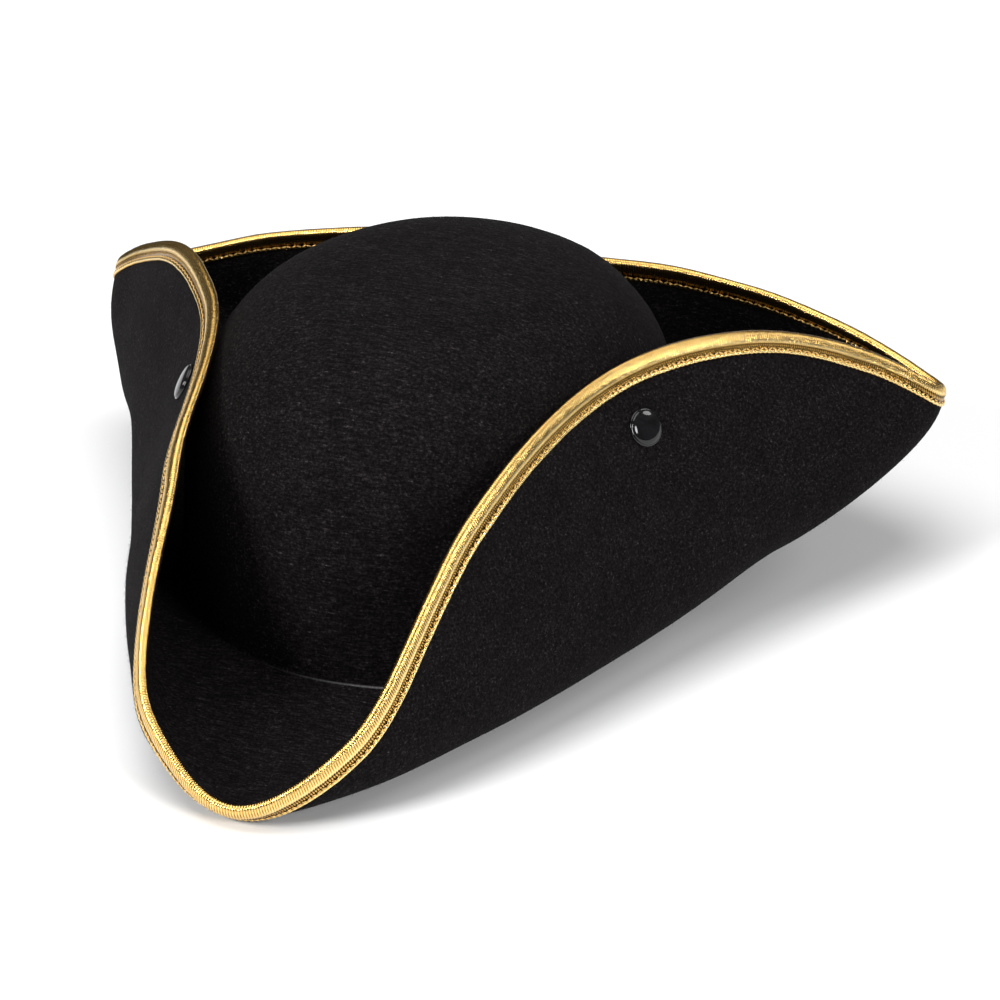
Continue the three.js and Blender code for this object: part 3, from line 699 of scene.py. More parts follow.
def felt_body():
    """The crown and the part of the brim that the flaps leave, in one closed skin."""
    points, faces, sector = whole_skin()
    # the crease attribute carries the painted highlight along the bottom of the crown
    highlight_rows = crease_highlight()
    crease = np.concatenate([np.concatenate([highlight_rows, np.zeros_like(highlight_rows)], axis=1).ravel(), [0, 0]])
    piece = new_object("crown_and_brim_felt", points, faces, crease=crease)
    bm = bmesh.new()
    bm.from_mesh(piece.data)
    layer = bm.faces.layers.int.new("sector")
    for face, s in zip(bm.faces, sector):
        face[layer] = s
    for k, flap in enumerate(FLAPS):
        cut(bm, flap, [f for f in bm.faces if f[layer] == k + 1], keep_above=False)
    bm.faces.layers.int.remove(layer)
    bm.to_mesh(piece.data)
    bm.free()
    return piece


def flap_felt(flap, sector):
    index = np.arange(sector[0], sector[1] + 1) % COUNT
    rows = PROFILES[index][:, BODY_ROWS:]
    normals = PROFILE_NORMALS[index][:, BODY_ROWS:]
    top, low = placed(rows + normals * HALF_FELT), placed(rows - normals * HALF_FELT)
    ring = np.concatenate([top, low[:, ::-1]], axis=1)
    faces = ring_faces(len(index), ring.shape[1], False)
    points = ring.reshape(-1, 3)
    piece = new_object(f"{flap.name}_flap_felt", points, faces, crease=np.zeros(len(points)))
    bm = bmesh.new()
    bm.from_mesh(piece.data)
    cut(bm, flap, list(bm.faces), keep_above=True)
    bm.to_mesh(piece.data)
    bm.free()
    return piece


def make_felt():
    body = felt_body()
    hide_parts("felt_crown_brim")
    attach(body, "root")
    made = [body]
    for flap, sector in zip(FLAPS, SECTORS):
        piece = flap_felt(flap, sector)
        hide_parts(f"felt_{flap.name}_flap")
        made.append(piece)
    for piece in made:
        outward(piece)
        smooth(piece)
        piece.data.materials.append(FELT_BLACK)
    for flap, piece in zip(FLAPS, made[1:]):
        bends(piece)
    return made


# ================================ the nap ==============================================
NAP_RADIUS = 0.035
NAP_ROOT = 0.08
NAP_RINGS = ((0.0, 1.0), (0.45, 0.8), (0.8, 0.5))
NAP_SIDES = 3
NAP_FLOOR_GAP = 4.0  # no fibre grows downward from felt that is lower than this
NAP_LENGTHS = (0.7, 2.0)
NAP_RISES = (0.25, 1.6)
NAP_CURL, NAP_DROOP = 0.5, 0.25
NAP_ABOVE_PLANE, NAP_BELOW_PLANE = 0.6, 0.4  # clear of the plane that parts a flap from the body
NAP_TAPE_ROWS = 9  # the rows next to the rim, which the tape covers
FLAP_NAP_COUNTS, BODY_NAP_COUNT = (6000, 4000, 6000), 9500
FLAP_NAP_SEED, BODY_NAP_SEED = 20, 19


def fibre_faces(count):
    """Faces of that many fibres: three-sided rings up to a point, closed at the root."""
    rings, sides = len(NAP_RINGS), NAP_SIDES
    one = [tuple(reversed(range(sides)))]
    for ring in range(rings - 1):
        for k in range(sides):
            a, b = ring * sides + k, ring * sides + (k + 1) % sides
            one.append((a, b, b + sides, a + sides))
    last = (rings - 1) * sides
    one += [(last + k, last + (k + 1) % sides, rings * sides) for k in range(sides)]
    size = rings * sides + 1
    return [tuple(v + n * size for v in face) for n in range(count) for face in one]


def rooted(allowed, count, chance):
    """Where fibres grow, evenly over the cells allowed, and which way the felt faces there."""
    along = np.roll(PROFILES, -1, axis=0)[:, :-1] - PROFILES[:, :-1]
    down = PROFILES[:, 1:] - PROFILES[:, :-1]
    area = np.linalg.norm(np.cross(along, down), axis=2) * allowed
    cells = chance.choice(area.size, count, p=(area / area.sum()).ravel())
    i, j = np.unravel_index(cells, area.shape)
    resting = PROFILES[i, j, 2] + HEAD_CENTRE[2] < NAP_FLOOR_GAP
    outside = (chance.uniform(size=count) < 0.5) | (j < BODY_ROWS) | resting
    side = np.where(outside, 1.0, -1.0)[:, None]
    normal = PROFILE_NORMALS[i, j] * side
    root = PROFILES[i, j] + along[i, j] * chance.uniform(size=(count, 1))
    root = root + down[i, j] * chance.uniform(size=(count, 1)) + normal * (HALF_FELT - NAP_ROOT)
    return root, normal


def nap(name, allowed, count, seed):
    """Short stray fibres that stand off the felt."""
    chance = np.random.RandomState(seed)
    root, normal = rooted(allowed, count, chance)
    flat = np.cross(normal, unit(chance.normal(size=(count, 3))))
    rise = unit(unit(flat) + normal * chance.uniform(*NAP_RISES, (count, 1)))
    length = chance.uniform(*NAP_LENGTHS, (count, 1))
    curl = np.cross(normal, rise) * chance.uniform(-NAP_CURL, NAP_CURL, (count, 1)) - normal * NAP_DROOP
    first = unit(np.cross(rise, normal))
    second = np.cross(rise, first)
    points = []
    for share, size in NAP_RINGS:
        middle = root + length * (rise * share + curl * share**2)
        for k in range(NAP_SIDES):
            a = TURN * k / NAP_SIDES
            points.append(middle + NAP_RADIUS * size * (first * math.cos(a) + second * math.sin(a)))
    points.append(root + length * (rise + curl))
    piece = new_object(name, placed(np.stack(points, axis=1).reshape(-1, 3)), fibre_faces(count))
    outward(piece)
    smooth(piece, 180.0)
    piece.data.materials.append(FELT_FIBRE)
    return piece


def make_nap():
    heights = [flap.height(PROFILES[:, :-1]) for flap in FLAPS]
    brim = np.arange(ROWS - 1)[None, :] >= BODY_ROWS
    clear_rows = (np.arange(ROWS - 1) < ROWS - NAP_TAPE_ROWS)[None, :]
    body = np.ones((COUNT, ROWS - 1), bool)
    for flap, height, (first, last), count in zip(FLAPS, heights, SECTORS, FLAP_NAP_COUNTS):
        index = np.arange(COUNT)[:, None]
        mine = (index >= first) & (index < last) & brim
        body &= ~mine | (height < -NAP_BELOW_PLANE)
        grown = mine & (height > NAP_ABOVE_PLANE) & clear_rows
        piece = nap(f"{flap.name}_flap_nap", grown, count, FLAP_NAP_SEED + first)
        bends(piece)
    grown = body & (~brim | clear_rows)
    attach(nap("crown_and_brim_nap", grown, BODY_NAP_COUNT, BODY_NAP_SEED), "root")


# ================================ the gold tape =========================================
RIB_PITCH = 0.95
RIB_SAMPLES = 4
RIBS = round(RIM_LENGTH / RIB_PITCH)
STITCH_PITCH = 2.0
STITCHES = round(RIM_LENGTH / STITCH_PITCH)
STITCH_FROM_RIM = 6.0
TAPE_UNDER = 0.04  # the tape's underside clears the felt by this
# the rolled part of the tape: its middle and half-width counted from the rim, and how thick
ROLL_MIDDLE, ROLL_HALF_WIDTH = 2.2, 3.4
ROLL_HALF_THICKNESS = 2.1
ROLL_SQUARENESS = 2.3
ROLL_STEPS = 25
ROLL_START = 0.15 * math.pi
# the flat part: distance from the rim, height over the felt, brightness: a painted highlight where it stands
# highest, painted shade at its edges
FLAT_ROWS = [
    (7.55, 0.08, 0.4), (7.45, 0.42, 0.8), (7.1, 0.66, 1.0), (6.65, 0.62, 0.95), (6.3, 0.38, 0.5),
    (5.9, 0.30, 0.05),
]
UNDER_ROWS = (7.5, 4.0, 0.2)
# how deep the ribs are by distance from the rim, and how far they lean
RIB_DEPTH = [
    (-1.2, 0.5), (0.3, 0.55), (1.2, 0.8), (2.4, 0.7),
    (2.75, 0.2), (3.2, 0.2), (3.5, 0.9), (5.4, 1.0),
]
RIB_LEAN = [(-1.2, 0.0), (2.9, 0.1), (4.3, 0.55), (5.6, 0.1)]
# painted shade: rows of the roll turned away from the light, at the fold and past its highlight, are
# darkened
RIB_ROW_SHADE = [(-1.2, 0.75), (0.6, 0.9), (2.4, 1.0), (3.2, 1.0), (3.7, 0.8), (5.6, 0.7)]
RIB_HEIGHT = 0.30
ROW_GAP, ROW_GAP_WIDTH = 4.3, 0.32
ROW_GAP_DEPTH, ROW_GAP_SHADE = 0.5, 0.4
ROLL_CLEARANCE = 0.12  # the roll stays at least this far off the felt
# the flat part's edge: pulled in by each stitch, and swollen between two stitches
SCALLOPED_ROWS, SCALLOP = 4, 0.15
SWOLLEN_ROWS, SWELL = range(1, 5), 0.10
STITCH_SHADE = 0.12
PLUMP_SEED, PLUMP_WANDER = 3, 0.045
EDGE_SEED, EDGE_WANDER = 5, 0.18


def wander(us, seed, size):
    """A slow random wave round the rim."""
    chance = np.random.RandomState(seed)
    total = np.zeros(len(us))
    for cycles in (17, 31, 53, 97, 171):
        total += np.sin(TURN * (cycles * us + chance.uniform())) * chance.uniform(0.4, 1)
    return total * size / 2


def roll_outline():
    """The roll's outline: across and up, each from -1 to 1, from the inner face round the fold."""
    angles = np.linspace(ROLL_START, TURN - ROLL_START, ROLL_STEPS)
    c, s = np.cos(angles), np.sin(angles)
    power = 2 / ROLL_SQUARENESS
    return np.sign(c) * np.abs(c) ** power, np.sign(s) * np.abs(s) ** power


class RimPlaces:
    """Places round the rim, and the points near them."""

    def __init__(self, us):
        self.us, self.count = us, len(us)
        self.total, self.t_at = across(us)
        self.rim = rim_point(us)
        just_in = brim_point(us, self.t_at((self.total - 0.5)[:, None])[:, 0])
        self.out = unit(self.rim - just_in)
        self.stitch_wave = np.cos(TURN * us * STITCHES)

    def at(self, distance, height):
        """Points at a distance in from the rim and a height from the felt's middle."""
        inside = np.maximum(distance, 0)
        t = self.t_at((self.total - inside)[:, None])[:, 0]
        outside = np.maximum(-distance, 0)[:, None]
        on_felt = brim_point(self.us, t) + self.out * outside
        return on_felt + brim_normal(self.us, t) * height[:, None]


def flat_part(places):
    """The tape's flat edge above and below the felt, and how bright each row is."""
    shift = wander(places.us, EDGE_SEED, EDGE_WANDER)
    wave = places.stitch_wave
    above, below, shares = [], [], []
    for k, (distance, height, bright) in enumerate(FLAT_ROWS):
        scallop = SCALLOP * wave + 0.5 * shift if k < SCALLOPED_ROWS else 0.0
        swell = SWELL * (1 - wave) * (k in SWOLLEN_ROWS)
        d = distance + scallop + np.zeros(places.count)
        above.append(places.at(d, HALF_FELT + height + swell))
        below.append(places.at(d, -(HALF_FELT + height + swell)))
        # painted highlight and shade across the flat part, darkened further beside each stitch
        shares.append(bright - STITCH_SHADE * (1 + wave))
    return above, below, shares


def rolled_part(places, steps):
    """The ribbed roll from the inner face round the fold, and how bright each row is."""
    plump = 1 + wander(places.us, PLUMP_SEED, PLUMP_WANDER)
    rows, shares = [], []
    for x, y in zip(*roll_outline()):
        d = ROLL_MIDDLE + ROLL_HALF_WIDTH * x
        depth = np.interp(d, *np.transpose(RIB_DEPTH))
        lean = np.interp(d, *np.transpose(RIB_LEAN))
        wave = 0.5 + 0.5 * np.cos(TURN * (steps / RIB_SAMPLES + lean))
        gap = math.exp(-(((d - ROW_GAP) / ROW_GAP_WIDTH) ** 2))
        sunk = RIB_HEIGHT * (depth * (1 - wave) + ROW_GAP_DEPTH * gap)
        height = y * (ROLL_HALF_THICKNESS * plump - sunk)
        least = HALF_FELT + ROLL_CLEARANCE
        if d > 0:
            height = np.where(np.abs(height) < least, least * np.sign(y), height)
        rows.append(places.at(d + x * -sunk, height))
        # painted shade on the rows turned away from the light
        row_shade = np.interp(d, *np.transpose(RIB_ROW_SHADE))
        # painted shade: colour darkened in the grooves between ribs and in the gap between the two rows
        shares.append(np.clip((1 - depth * (1 - wave) - ROW_GAP_SHADE * gap) * row_shade, 0, 1))
    return rows, shares


def under_part(places):
    """The tape's underside, close round the edge of the felt."""
    rows = []
    for sign, distances in ((-1, UNDER_ROWS), (1, UNDER_ROWS[::-1])):
        height = np.full(places.count, sign * (HALF_FELT + TAPE_UNDER))
        rows += [places.at(np.full(places.count, d), height) for d in distances]
    rows.insert(len(UNDER_ROWS), places.rim + places.out * (HALF_FELT * 0.5 + TAPE_UNDER))
    return rows


def tape_section(us, steps):
    """Rings of points round the folded tape, how bright each is from 0 to 1, and its map."""
    places = RimPlaces(us)
    above, below, flat_shares = flat_part(places)
    roll, roll_shares = rolled_part(places, steps)
    under = under_part(places)
    ring = above + roll + below[::-1] + under
    # painted shade: the tape's underside rows take the darkest colour
    shares = flat_shares + roll_shares + flat_shares[::-1] + [np.zeros(len(us))] * len(under)
    flat = [row[0] for row in FLAT_ROWS]
    rolled = list(ROLL_MIDDLE + ROLL_HALF_WIDTH * roll_outline()[0])
    from_rim = np.array(flat + rolled + flat[::-1] + list(UNDER_ROWS) + [0] + list(UNDER_ROWS[::-1]))
    uv = np.stack(np.broadcast_arrays((steps / RIB_SAMPLES)[:, None], from_rim[None, :]), axis=-1)
    return np.stack(ring, axis=1), np.stack(shares, axis=1), uv


def tape_piece(name, first, last):
    """The tape from one rib sample to another, counted from the front corner."""
    steps = np.arange(first, last + 1)
    us = steps / (RIBS * RIB_SAMPLES)
    ring, shares, uv = tape_section(us, steps)
    faces = ring_faces(len(us), ring.shape[1], False)
    piece = new_object(name, placed(ring.reshape(-1, 3)), faces, relief=shares.ravel())
    with_uv(piece, uv.reshape(-1, 2))
    return piece


def trimmed(piece, cuts):
    """Cuts an open-ended strip of tape by one or two planes, and closes the cuts."""
    bm = bmesh.new()
    bm.from_mesh(piece.data)
    for flap, keep_above in cuts:
        cut(bm, flap, list(bm.faces), keep_above)
    bm.to_mesh(piece.data)
    bm.free()
    outward(piece)
    smooth(piece, 60.0)
    piece.data.materials.append(GOLD_TAPE)
    return piece


CORNER_REACH = 45.0  # millimetres of tape made each way from a corner before it is trimmed


def make_tape():
    samples = RIBS * RIB_SAMPLES
    made = []
    for flap in FLAPS:
        first, last = round(flap.start * samples), round(flap.end * samples)
        strip = tape_piece(f"{flap.name}_flap_tape", first, last)
        trimmed(strip, [(flap, True)])
        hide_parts(f"binding_{flap.name}")
        made.append((strip, flap))
    reach = round(CORNER_REACH / RIM_LENGTH * samples)
    # each corner's place on the rim, and the flaps before and after it
    corners = [
        ("front_corner", 0.0, 2, 0), ("right_corner", CORNER, 0, 1), ("left_corner", 1 - CORNER, 1, 2),
    ]
    for name, u, before, after in corners:
        middle = round(u * samples)
        strip = tape_piece(f"{name}_tape", middle - reach, middle + reach)
        trimmed(strip, [(FLAPS[before], False), (FLAPS[after], False)])
        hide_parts(f"binding_{name}")
        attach(strip, "root")
        made.append((strip, None))
    for strip, flap in made:
        if flap is not None:
            bends(strip)
    return made


# ================================ the stitches =========================================
STITCH_LENGTH, STITCH_RADIUS, STITCH_RISE = 1.7, 0.27, 0.42
STITCH_BRIGHTNESS = 0.75
STITCH_ABOVE_PLANE = 0.8  # a stitch nearer the parting plane than this belongs to the corner
STITCH_SLANTS, SLANT_CHANCE, SLANT_SEED = (0.45, -0.35), 0.15, 7


def stitch_shape():
    """One stitch along X, a millimetre long: a short bulging thread, as rings of points."""
    rings, sides = [(-0.5, 0.35), (-0.36, 0.85), (0.0, 1.0), (0.36, 0.85), (0.5, 0.35)], 6
    points = []
    for x, r in rings:
        for k in range(sides):
            a = TURN * k / sides
            points.append((x, r * math.cos(a), r * math.sin(a)))
    faces = ring_faces(len(rings), sides, False).tolist()
    faces += [list(range(sides))[::-1], [len(points) - sides + k for k in range(sides)]]
    return np.array(points), faces


STITCH_POINTS, STITCH_FACES = stitch_shape()


def sewn(name, places, alongs, normals, length, radius):
    """Many stitches in one mesh."""
    sides = np.cross(normals, alongs)
    shape = STITCH_POINTS * [length, radius, radius]
    points = (places[:, None] + shape[None, :, :1] * alongs[:, None]
              + shape[None, :, 1:2] * sides[:, None] + shape[None, :, 2:] * normals[:, None])
    count = len(STITCH_POINTS)
    faces = [[v + k * count for v in f] for k in range(len(places)) for f in STITCH_FACES]
    bright = np.full(len(places) * count, STITCH_BRIGHTNESS)
    piece = new_object(name, placed(points.reshape(-1, 3)), faces, relief=bright)
    outward(piece)
    smooth(piece, 80.0)
    return piece


def stitch_places():
    """Where the stitches lie round the brim: middle, direction, normal, and their flap or -1."""
    us = (np.arange(STITCHES) + 0.5) / STITCHES
    h = 0.0006
    total, t_at = across(us)
    ts = t_at((total - STITCH_FROM_RIM)[:, None])[:, 0]
    middle, normal = brim_point(us, ts), brim_normal(us, ts)
    ahead = brim_point(us + h, ts) - brim_point(us - h, ts)
    ahead = unit(ahead - normal * (ahead * normal).sum(1)[:, None])
    owner = np.full(STITCHES, -1)
    for k, flap in enumerate(FLAPS):
        above = flap.height(middle) > STITCH_ABOVE_PLANE
        owner[(us > flap.start) & (us < flap.end) & above] = k
    across_rim = np.cross(normal, ahead)
    chance = np.random.RandomState(SLANT_SEED).uniform(-SLANT_CHANCE, SLANT_CHANCE, STITCHES)
    slant = np.where(np.arange(STITCHES) % 2 == 0, *STITCH_SLANTS) + chance
    return middle, unit(ahead + across_rim * slant[:, None]), normal, owner


def gold_stitches(name, places, ahead, normal):
    piece = sewn(name, places, ahead, normal, STITCH_LENGTH, STITCH_RADIUS)
    piece.data.materials.append(GOLD_THREAD)
    return piece


def make_stitches():
    middle, ahead, normal, owner = stitch_places()
    for side, sign in (("inner", 1), ("outer", -1)):
        places = middle + normal * sign * (HALF_FELT + STITCH_RISE)
        for k, flap in enumerate(FLAPS):
            mine = owner == k
            name = f"{flap.name}_flap_stitches_{side}"
            piece = gold_stitches(name, places[mine], ahead[mine], normal[mine])
            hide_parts(f"thread_{flap.name}_{side}")
            bends(piece)
        mine = owner == -1
        piece = gold_stitches(f"corner_stitches_{side}", places[mine], ahead[mine], normal[mine])
        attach(piece, "root")


# ================================ the press studs =======================================
ROUND_SIDES = 56
STUD_CLEARANCE = 0.1
CAP_EDGE, CAP_SKIRT, CAP_RISE = 0.55, 0.35, 1.9
STUD_HEAD = 3.25  # from the crown's side, the stud ends this far short of the flap's middle
SEARCH_STEP = 0.02
# profiles of the round pieces: radius and height of each ring, from the felt outward
SOCKET_PROFILE = [
    (3.2, 0.0), (4.8, 0.0), (5.0, 0.25), (5.0, 0.7), (4.7, 1.0), (3.6, 1.05), (3.3, 1.7),
    (2.9, 1.95), (2.55, 1.8), (2.45, 1.0), (0.4, 0.9),
]
BACKING_PROFILE = [
    (1.6, 0.0), (5.2, 0.0), (5.5, 0.3), (5.5, 0.6), (5.1, 1.0), (3.4, 1.25), (1.9, 1.3),
    (1.6, 1.1), (0.3, 1.05),
]
STUD_FOOT = [(2.0, 0.0), (4.3, 0.0), (4.5, 0.2), (4.5, 0.45), (4.2, 0.65), (2.2, 0.75), (1.6, 1.1)]
# the stud's head: radius, and height below its end
STUD_END = [(1.6, 0.9), (2.05, 0.6), (2.1, 0.3), (1.7, 0.0), (0.2, -0.02)]


def turned_piece(name, profile, origin, axis, material):
    """A round piece: a disc that is drawn out ring by ring to the next radius and height."""
    bpy.ops.object.select_all(action="DESELECT")
    radius, height = profile[0]
    bpy.ops.mesh.primitive_circle_add(
        vertices=ROUND_SIDES, radius=radius * MM, fill_type="NGON", location=(0, 0, height * MM))
    piece = bpy.context.object
    piece.name = name
    bpy.ops.object.mode_set(mode="EDIT")
    bpy.ops.mesh.select_all(action="SELECT")
    for r, h in profile[1:]:
        bpy.ops.mesh.extrude_region_move(TRANSFORM_OT_translate={"value": (0, 0, (h - height) * MM)})
        scale = r / radius
        bpy.ops.transform.resize(value=(scale, scale, 1), center_override=(0, 0, h * MM))
        radius, height = r, h
    bpy.ops.mesh.select_all(action="SELECT")
    bpy.ops.mesh.normals_make_consistent(inside=False)
    bpy.ops.object.mode_set(mode="OBJECT")
    turn = Vector((0, 0, 1)).rotation_difference(Vector(axis)).to_matrix().to_4x4()
    where = Matrix.Translation(Vector(placed(np.asarray(origin)))) @ turn
    piece.data.transform(where @ piece.matrix_world)
    piece.matrix_world = Matrix.Identity(4)
    smooth(piece, 32.0)
    piece.data.materials.append(material)
    return piece


def stud_line(flap):
    """Where the stud's line starts in the flap's middle, its direction, and how far the crown is."""
    us = flap.start + (flap.end - flap.start) * np.arange(1, 600) / 600
    p = rim_point(us)
    k = crown_scale(np.clip(p[:, 2], 0, RIM_WALL_TOP * CROWN_HEIGHT))
    q = np.hypot(p[:, 0] / (CROWN_HALF_WIDTH * k), p[:, 1] / (CROWN_HALF_LENGTH * k))
    nearest = us[np.argmin(np.hypot(p[:, 0], p[:, 1]) * (1 - 1 / q))]
    u = np.array([nearest + STUD_BACK[flap.name] / RIM_LENGTH])
    total, t_at = across(u)
    t = t_at((total - STUD_FROM_RIM[flap.name])[:, None])[:, 0]
    origin, axis = brim_point(u, t)[0], brim_normal(u, t)[0]
    reach = 0.0
    while True:
        p = origin + axis * reach
        k = float(crown_scale(p[2]))
        if math.hypot(p[0] / (CROWN_HALF_WIDTH * k), p[1] / (CROWN_HALF_LENGTH * k)) <= 1:
            return origin, axis, reach
        reach += SEARCH_STEP


def dome(radius, edge, rise, steps=9):
    """A rounded edge and then a shallow dome up to the middle."""
    rows = []
    for k in range(4):
        a = 0.5 * math.pi * k / 3
        rows.append((radius - edge + edge * math.cos(a) * 0.999, edge * math.sin(a)))
    rim_radius = radius - edge
    for k in range(1, steps):
        a = 0.5 * math.pi * k / steps
        rows.append((rim_radius * math.cos(a), edge + (rise - edge) * math.sin(a)))
    return rows


def cap_profile():
    """A straight skirt on the felt, and the dome on it."""
    skirt = [(CAP_RADIUS - 0.35, 0.0), (CAP_RADIUS, 0.12), (CAP_RADIUS, CAP_SKIRT)]
    rows = dome(CAP_RADIUS, CAP_EDGE, CAP_RISE)[1:]
    return skirt + [(r, h + CAP_SKIRT) for r, h in rows] + [(0.05, CAP_SKIRT + CAP_RISE + 0.01)]


def make_studs():
    for flap in FLAPS:
        origin, axis, reach = stud_line(flap)
        face = HALF_FELT + STUD_CLEARANCE
        wall = reach - face
        end = wall - STUD_HEAD
        stud_profile = STUD_FOOT + [(r, end - below) for r, below in STUD_END]
        # each piece's kind, profile, place along the stud's line, way it faces, body and finish
        kinds = [
            ("cap", cap_profile(), -face, -axis, flap.body, CAP_PLASTIC, "press_stud_cap"),
            ("socket", SOCKET_PROFILE, face, axis, flap.body, STUD_PLASTIC, "press_stud"),
            ("stud", stud_profile, wall, -axis, "root", STUD_PLASTIC, "press_stud"),
            ("backing", BACKING_PROFILE, reach + face, axis, "root", STUD_PLASTIC, "press_stud"),
        ]
        for kind, profile, along, facing, body, material, slot_name in kinds:
            name = f"{flap.name}_{kind}"
            piece = turned_piece(name, profile, origin + axis * along, facing, material)
            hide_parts(f"{kind}_{flap.name}")
            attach(piece, body)


# ================================ inside the opening =====================================
BAND_BOTTOM, BAND_HEIGHT, BAND_THICKNESS = 1.5, 30.0, 0.9
BAND_CLEARANCE = 0.1
BAND_STITCH_RISE = 3.2
BAND_STATIONS = 320
# up the band: shares of its height, and how far its edges stand in
BAND_SHARES = [0, 0.015, 0.05, 0.3, 0.6, 0.95, 0.985, 1.0]
BAND_SWELL = [0.25, 0.05, 0.0, 0.0, 0.0, 0.0, 0.05, 0.25]
BAND_STITCH_PITCH, BAND_STITCH_LENGTH, BAND_STITCH_RADIUS = 3.0, 2.2, 0.24
LABEL_HEIGHT, LABEL_BOTTOM, LABEL_HALF_TURN, LABEL_THICKNESS = 30, 10, 7 / 360, 0.35
LABEL_SAG = [0.0, 0.02, 0.12, 0.2, 0.16, 0.06, 0.0]


def wall_normal(turn, z):
    du = wall_point(turn + 0.002, z) - wall_point(turn - 0.002, z)
    dv = wall_point(turn, np.maximum(z - 0.5, 0)) - wall_point(turn, z + 0.5)
    return unit(np.cross(dv, du))


def ribbon(name, turns, heights, insets, thickness, closed, material):
    """A strip against the inner wall: heights up it, and how far in from the felt's middle."""
    front, back, uv = [], [], []
    length = np.concatenate([[0], np.cumsum(np.linalg.norm(
        np.diff(wall_point(turns, np.full(len(turns), 10.0)), axis=0), axis=1))])
    for z, inset in zip(heights, insets):
        zs = np.full(len(turns), z)
        p, n = wall_point(turns, zs), wall_normal(turns, zs)
        back.append(p - n * inset)
        front.append(p - n * (inset + thickness))
        uv.append(np.stack([length, zs], axis=1))
    ring = np.stack(back + front[::-1], axis=1)
    faces = ring_faces(len(turns), ring.shape[1], closed)
    if not closed:
        size = ring.shape[1]
        ends = [list(range(size))[::-1], [(len(turns) - 1) * size + k for k in range(size)]]
        faces = faces.tolist() + ends
    piece = new_object(name, placed(ring.reshape(-1, 3)), faces)
    with_uv(piece, np.stack(uv + uv[::-1], axis=1).reshape(-1, 2) * MM)
    outward(piece)
    smooth(piece, 50.0)
    piece.data.materials.append(material)
    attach(piece, "root")
    return piece, length[-1]


def make_band(inset):
    turns = np.arange(BAND_STATIONS) / BAND_STATIONS
    heights = [BAND_BOTTOM + BAND_HEIGHT * s for s in BAND_SHARES]
    insets = [inset + 0.5 * s for s in BAND_SWELL]
    band, length = ribbon(
        "ribbon_sweatband", turns, heights, insets, BAND_THICKNESS, True, BAND_RIBBON)
    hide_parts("sweatband")
    return length


def make_band_stitches(inset, length):
    count = round(length / BAND_STITCH_PITCH)
    turn = (np.arange(count) + 0.5) / count
    z = np.full(count, BAND_BOTTOM + BAND_STITCH_RISE)
    normal = -wall_normal(turn, z)
    places = wall_point(turn, z) + normal * (inset + BAND_THICKNESS + 0.08)
    ahead = unit(wall_point(turn + 0.001, z) - wall_point(turn - 0.001, z))
    stitches = sewn(
        "sweatband_stitches", places, ahead, normal, BAND_STITCH_LENGTH, BAND_STITCH_RADIUS)
    stitches.data.materials.append(DARK_THREAD)
    with_uv(stitches, np.zeros((len(stitches.data.vertices), 2)))
    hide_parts("sweatband_thread")
    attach(stitches, "root")


def make_label(inset):
    near = inset + BAND_THICKNESS + 0.25
    turns = 0.5 + np.linspace(-1, 1, 15) * LABEL_HALF_TURN
    last = len(LABEL_SAG) - 1
    heights = [LABEL_BOTTOM + LABEL_HEIGHT * k / last for k in range(last + 1)]
    label, wide = ribbon(
        "blank_label", turns, heights, [near + s for s in LABEL_SAG], LABEL_THICKNESS, False,
        LABEL_SATIN)
    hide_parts("care_label")


def make_lining():
    inset = HALF_FELT + BAND_CLEARANCE
    length = make_band(inset)
    make_band_stitches(inset, length)
    make_label(inset)


# ================================ floor, light and camera =================================
CAMERA_AZIMUTH, CAMERA_ELEVATION, CAMERA_ROLL = 20.80, 26.78, -0.486
CAMERA_DISTANCE = 1.9576
CAMERA_LENS = 198.3
CAMERA_AIM = Vector((0.0249, 0.0294, 0.0380))
FLOOR_SIZE = 4.4
WORLD_STRENGTH = 0.10
LAMPS_AIM = Vector((0, 0, 0.05))
# name, place in metres, diameter in metres, watts
LAMPS = [
    ("top", (-0.3, 0.0, 2.4), 2.4, 46.0), ("key", (-1.5, -2.1, 1.5), 1.0, 74.0),
    ("fill", (1.9, -1.2, 1.2), 0.8, 30.0), ("back", (1.7, 1.1, 1.5), 0.9, 13.0),
]


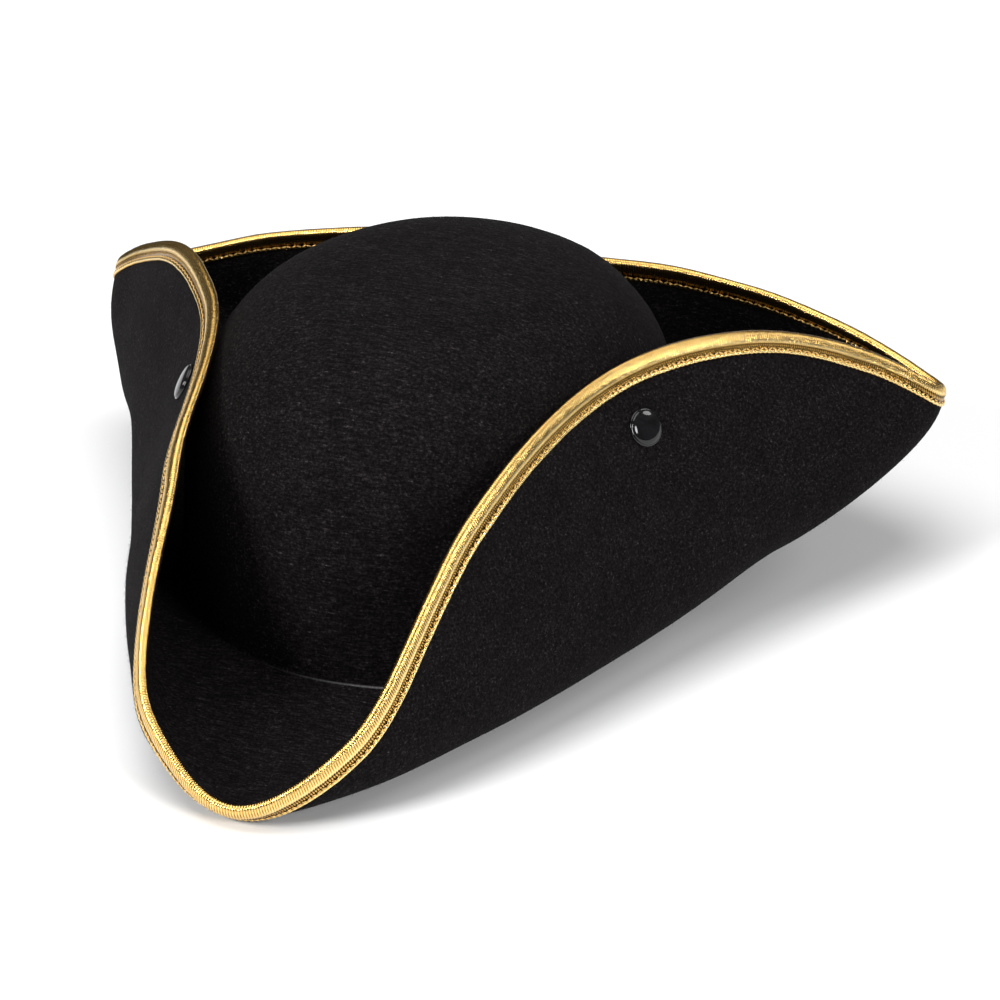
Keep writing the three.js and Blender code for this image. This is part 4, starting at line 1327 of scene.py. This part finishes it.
def make_floor():
    bpy.ops.object.select_all(action="DESELECT")
    bpy.ops.mesh.primitive_plane_add(size=FLOOR_SIZE, location=(0, 0, 0))
    floor = bpy.context.object
    floor.name = "studio_floor"
    made, nodes, links, shader = new_material("pale_floor")
    tint = ramp(nodes, links, noise(nodes, links, object_coordinates(nodes), 3.0),
                [(0.3, (0.93, 0.93, 0.93)), (0.7, (0.95, 0.95, 0.95))])
    links.new(tint, shader.inputs["Base Color"])
    shader.inputs["Roughness"].default_value = 0.9
    floor.data.materials.append(made)


def make_world():
    world = bpy.data.worlds.new("studio")
    bpy.context.scene.world = world
    world.use_nodes = True
    sky = world.node_tree.nodes["Background"]
    sky.inputs["Color"].default_value = (1.0, 1.0, 1.0, 1.0)
    sky.inputs["Strength"].default_value = WORLD_STRENGTH


def make_lamps():
    for name, where, size, power in LAMPS:
        data = bpy.data.lights.new(name, "AREA")
        data.shape, data.size, data.energy = "DISK", size, power
        lamp = bpy.data.objects.new(name, data)
        lamp.location = where
        lamp.rotation_mode = "QUATERNION"
        lamp.rotation_quaternion = (LAMPS_AIM - Vector(where)).to_track_quat("-Z", "Y")
        bpy.context.scene.collection.objects.link(lamp)


def make_camera():
    a, e = math.radians(CAMERA_AZIMUTH), math.radians(CAMERA_ELEVATION)
    back = Vector((math.sin(a) * math.cos(e), -math.cos(a) * math.cos(e), math.sin(e)))
    data = bpy.data.cameras.new("camera")
    data.lens, data.sensor_width = CAMERA_LENS, 36.0
    data.clip_start, data.clip_end = 0.05, 60.0
    camera = bpy.data.objects.new("camera", data)
    camera.location = CAMERA_AIM + back * CAMERA_DISTANCE
    roll = Matrix.Rotation(math.radians(CAMERA_ROLL), 4, "Z")
    turn = (-back).to_track_quat("-Z", "Y").to_matrix().to_4x4() @ roll
    camera.rotation_mode = "QUATERNION"
    camera.rotation_quaternion = turn.to_quaternion()
    bpy.context.scene.collection.objects.link(camera)
    bpy.context.scene.camera = camera


bpy.context.scene.view_settings.view_transform = "Standard"
make_camera()
make_floor()
make_world()
make_lamps()
make_felt()
make_nap()
make_tape()
make_stitches()
make_studs()
make_lining()
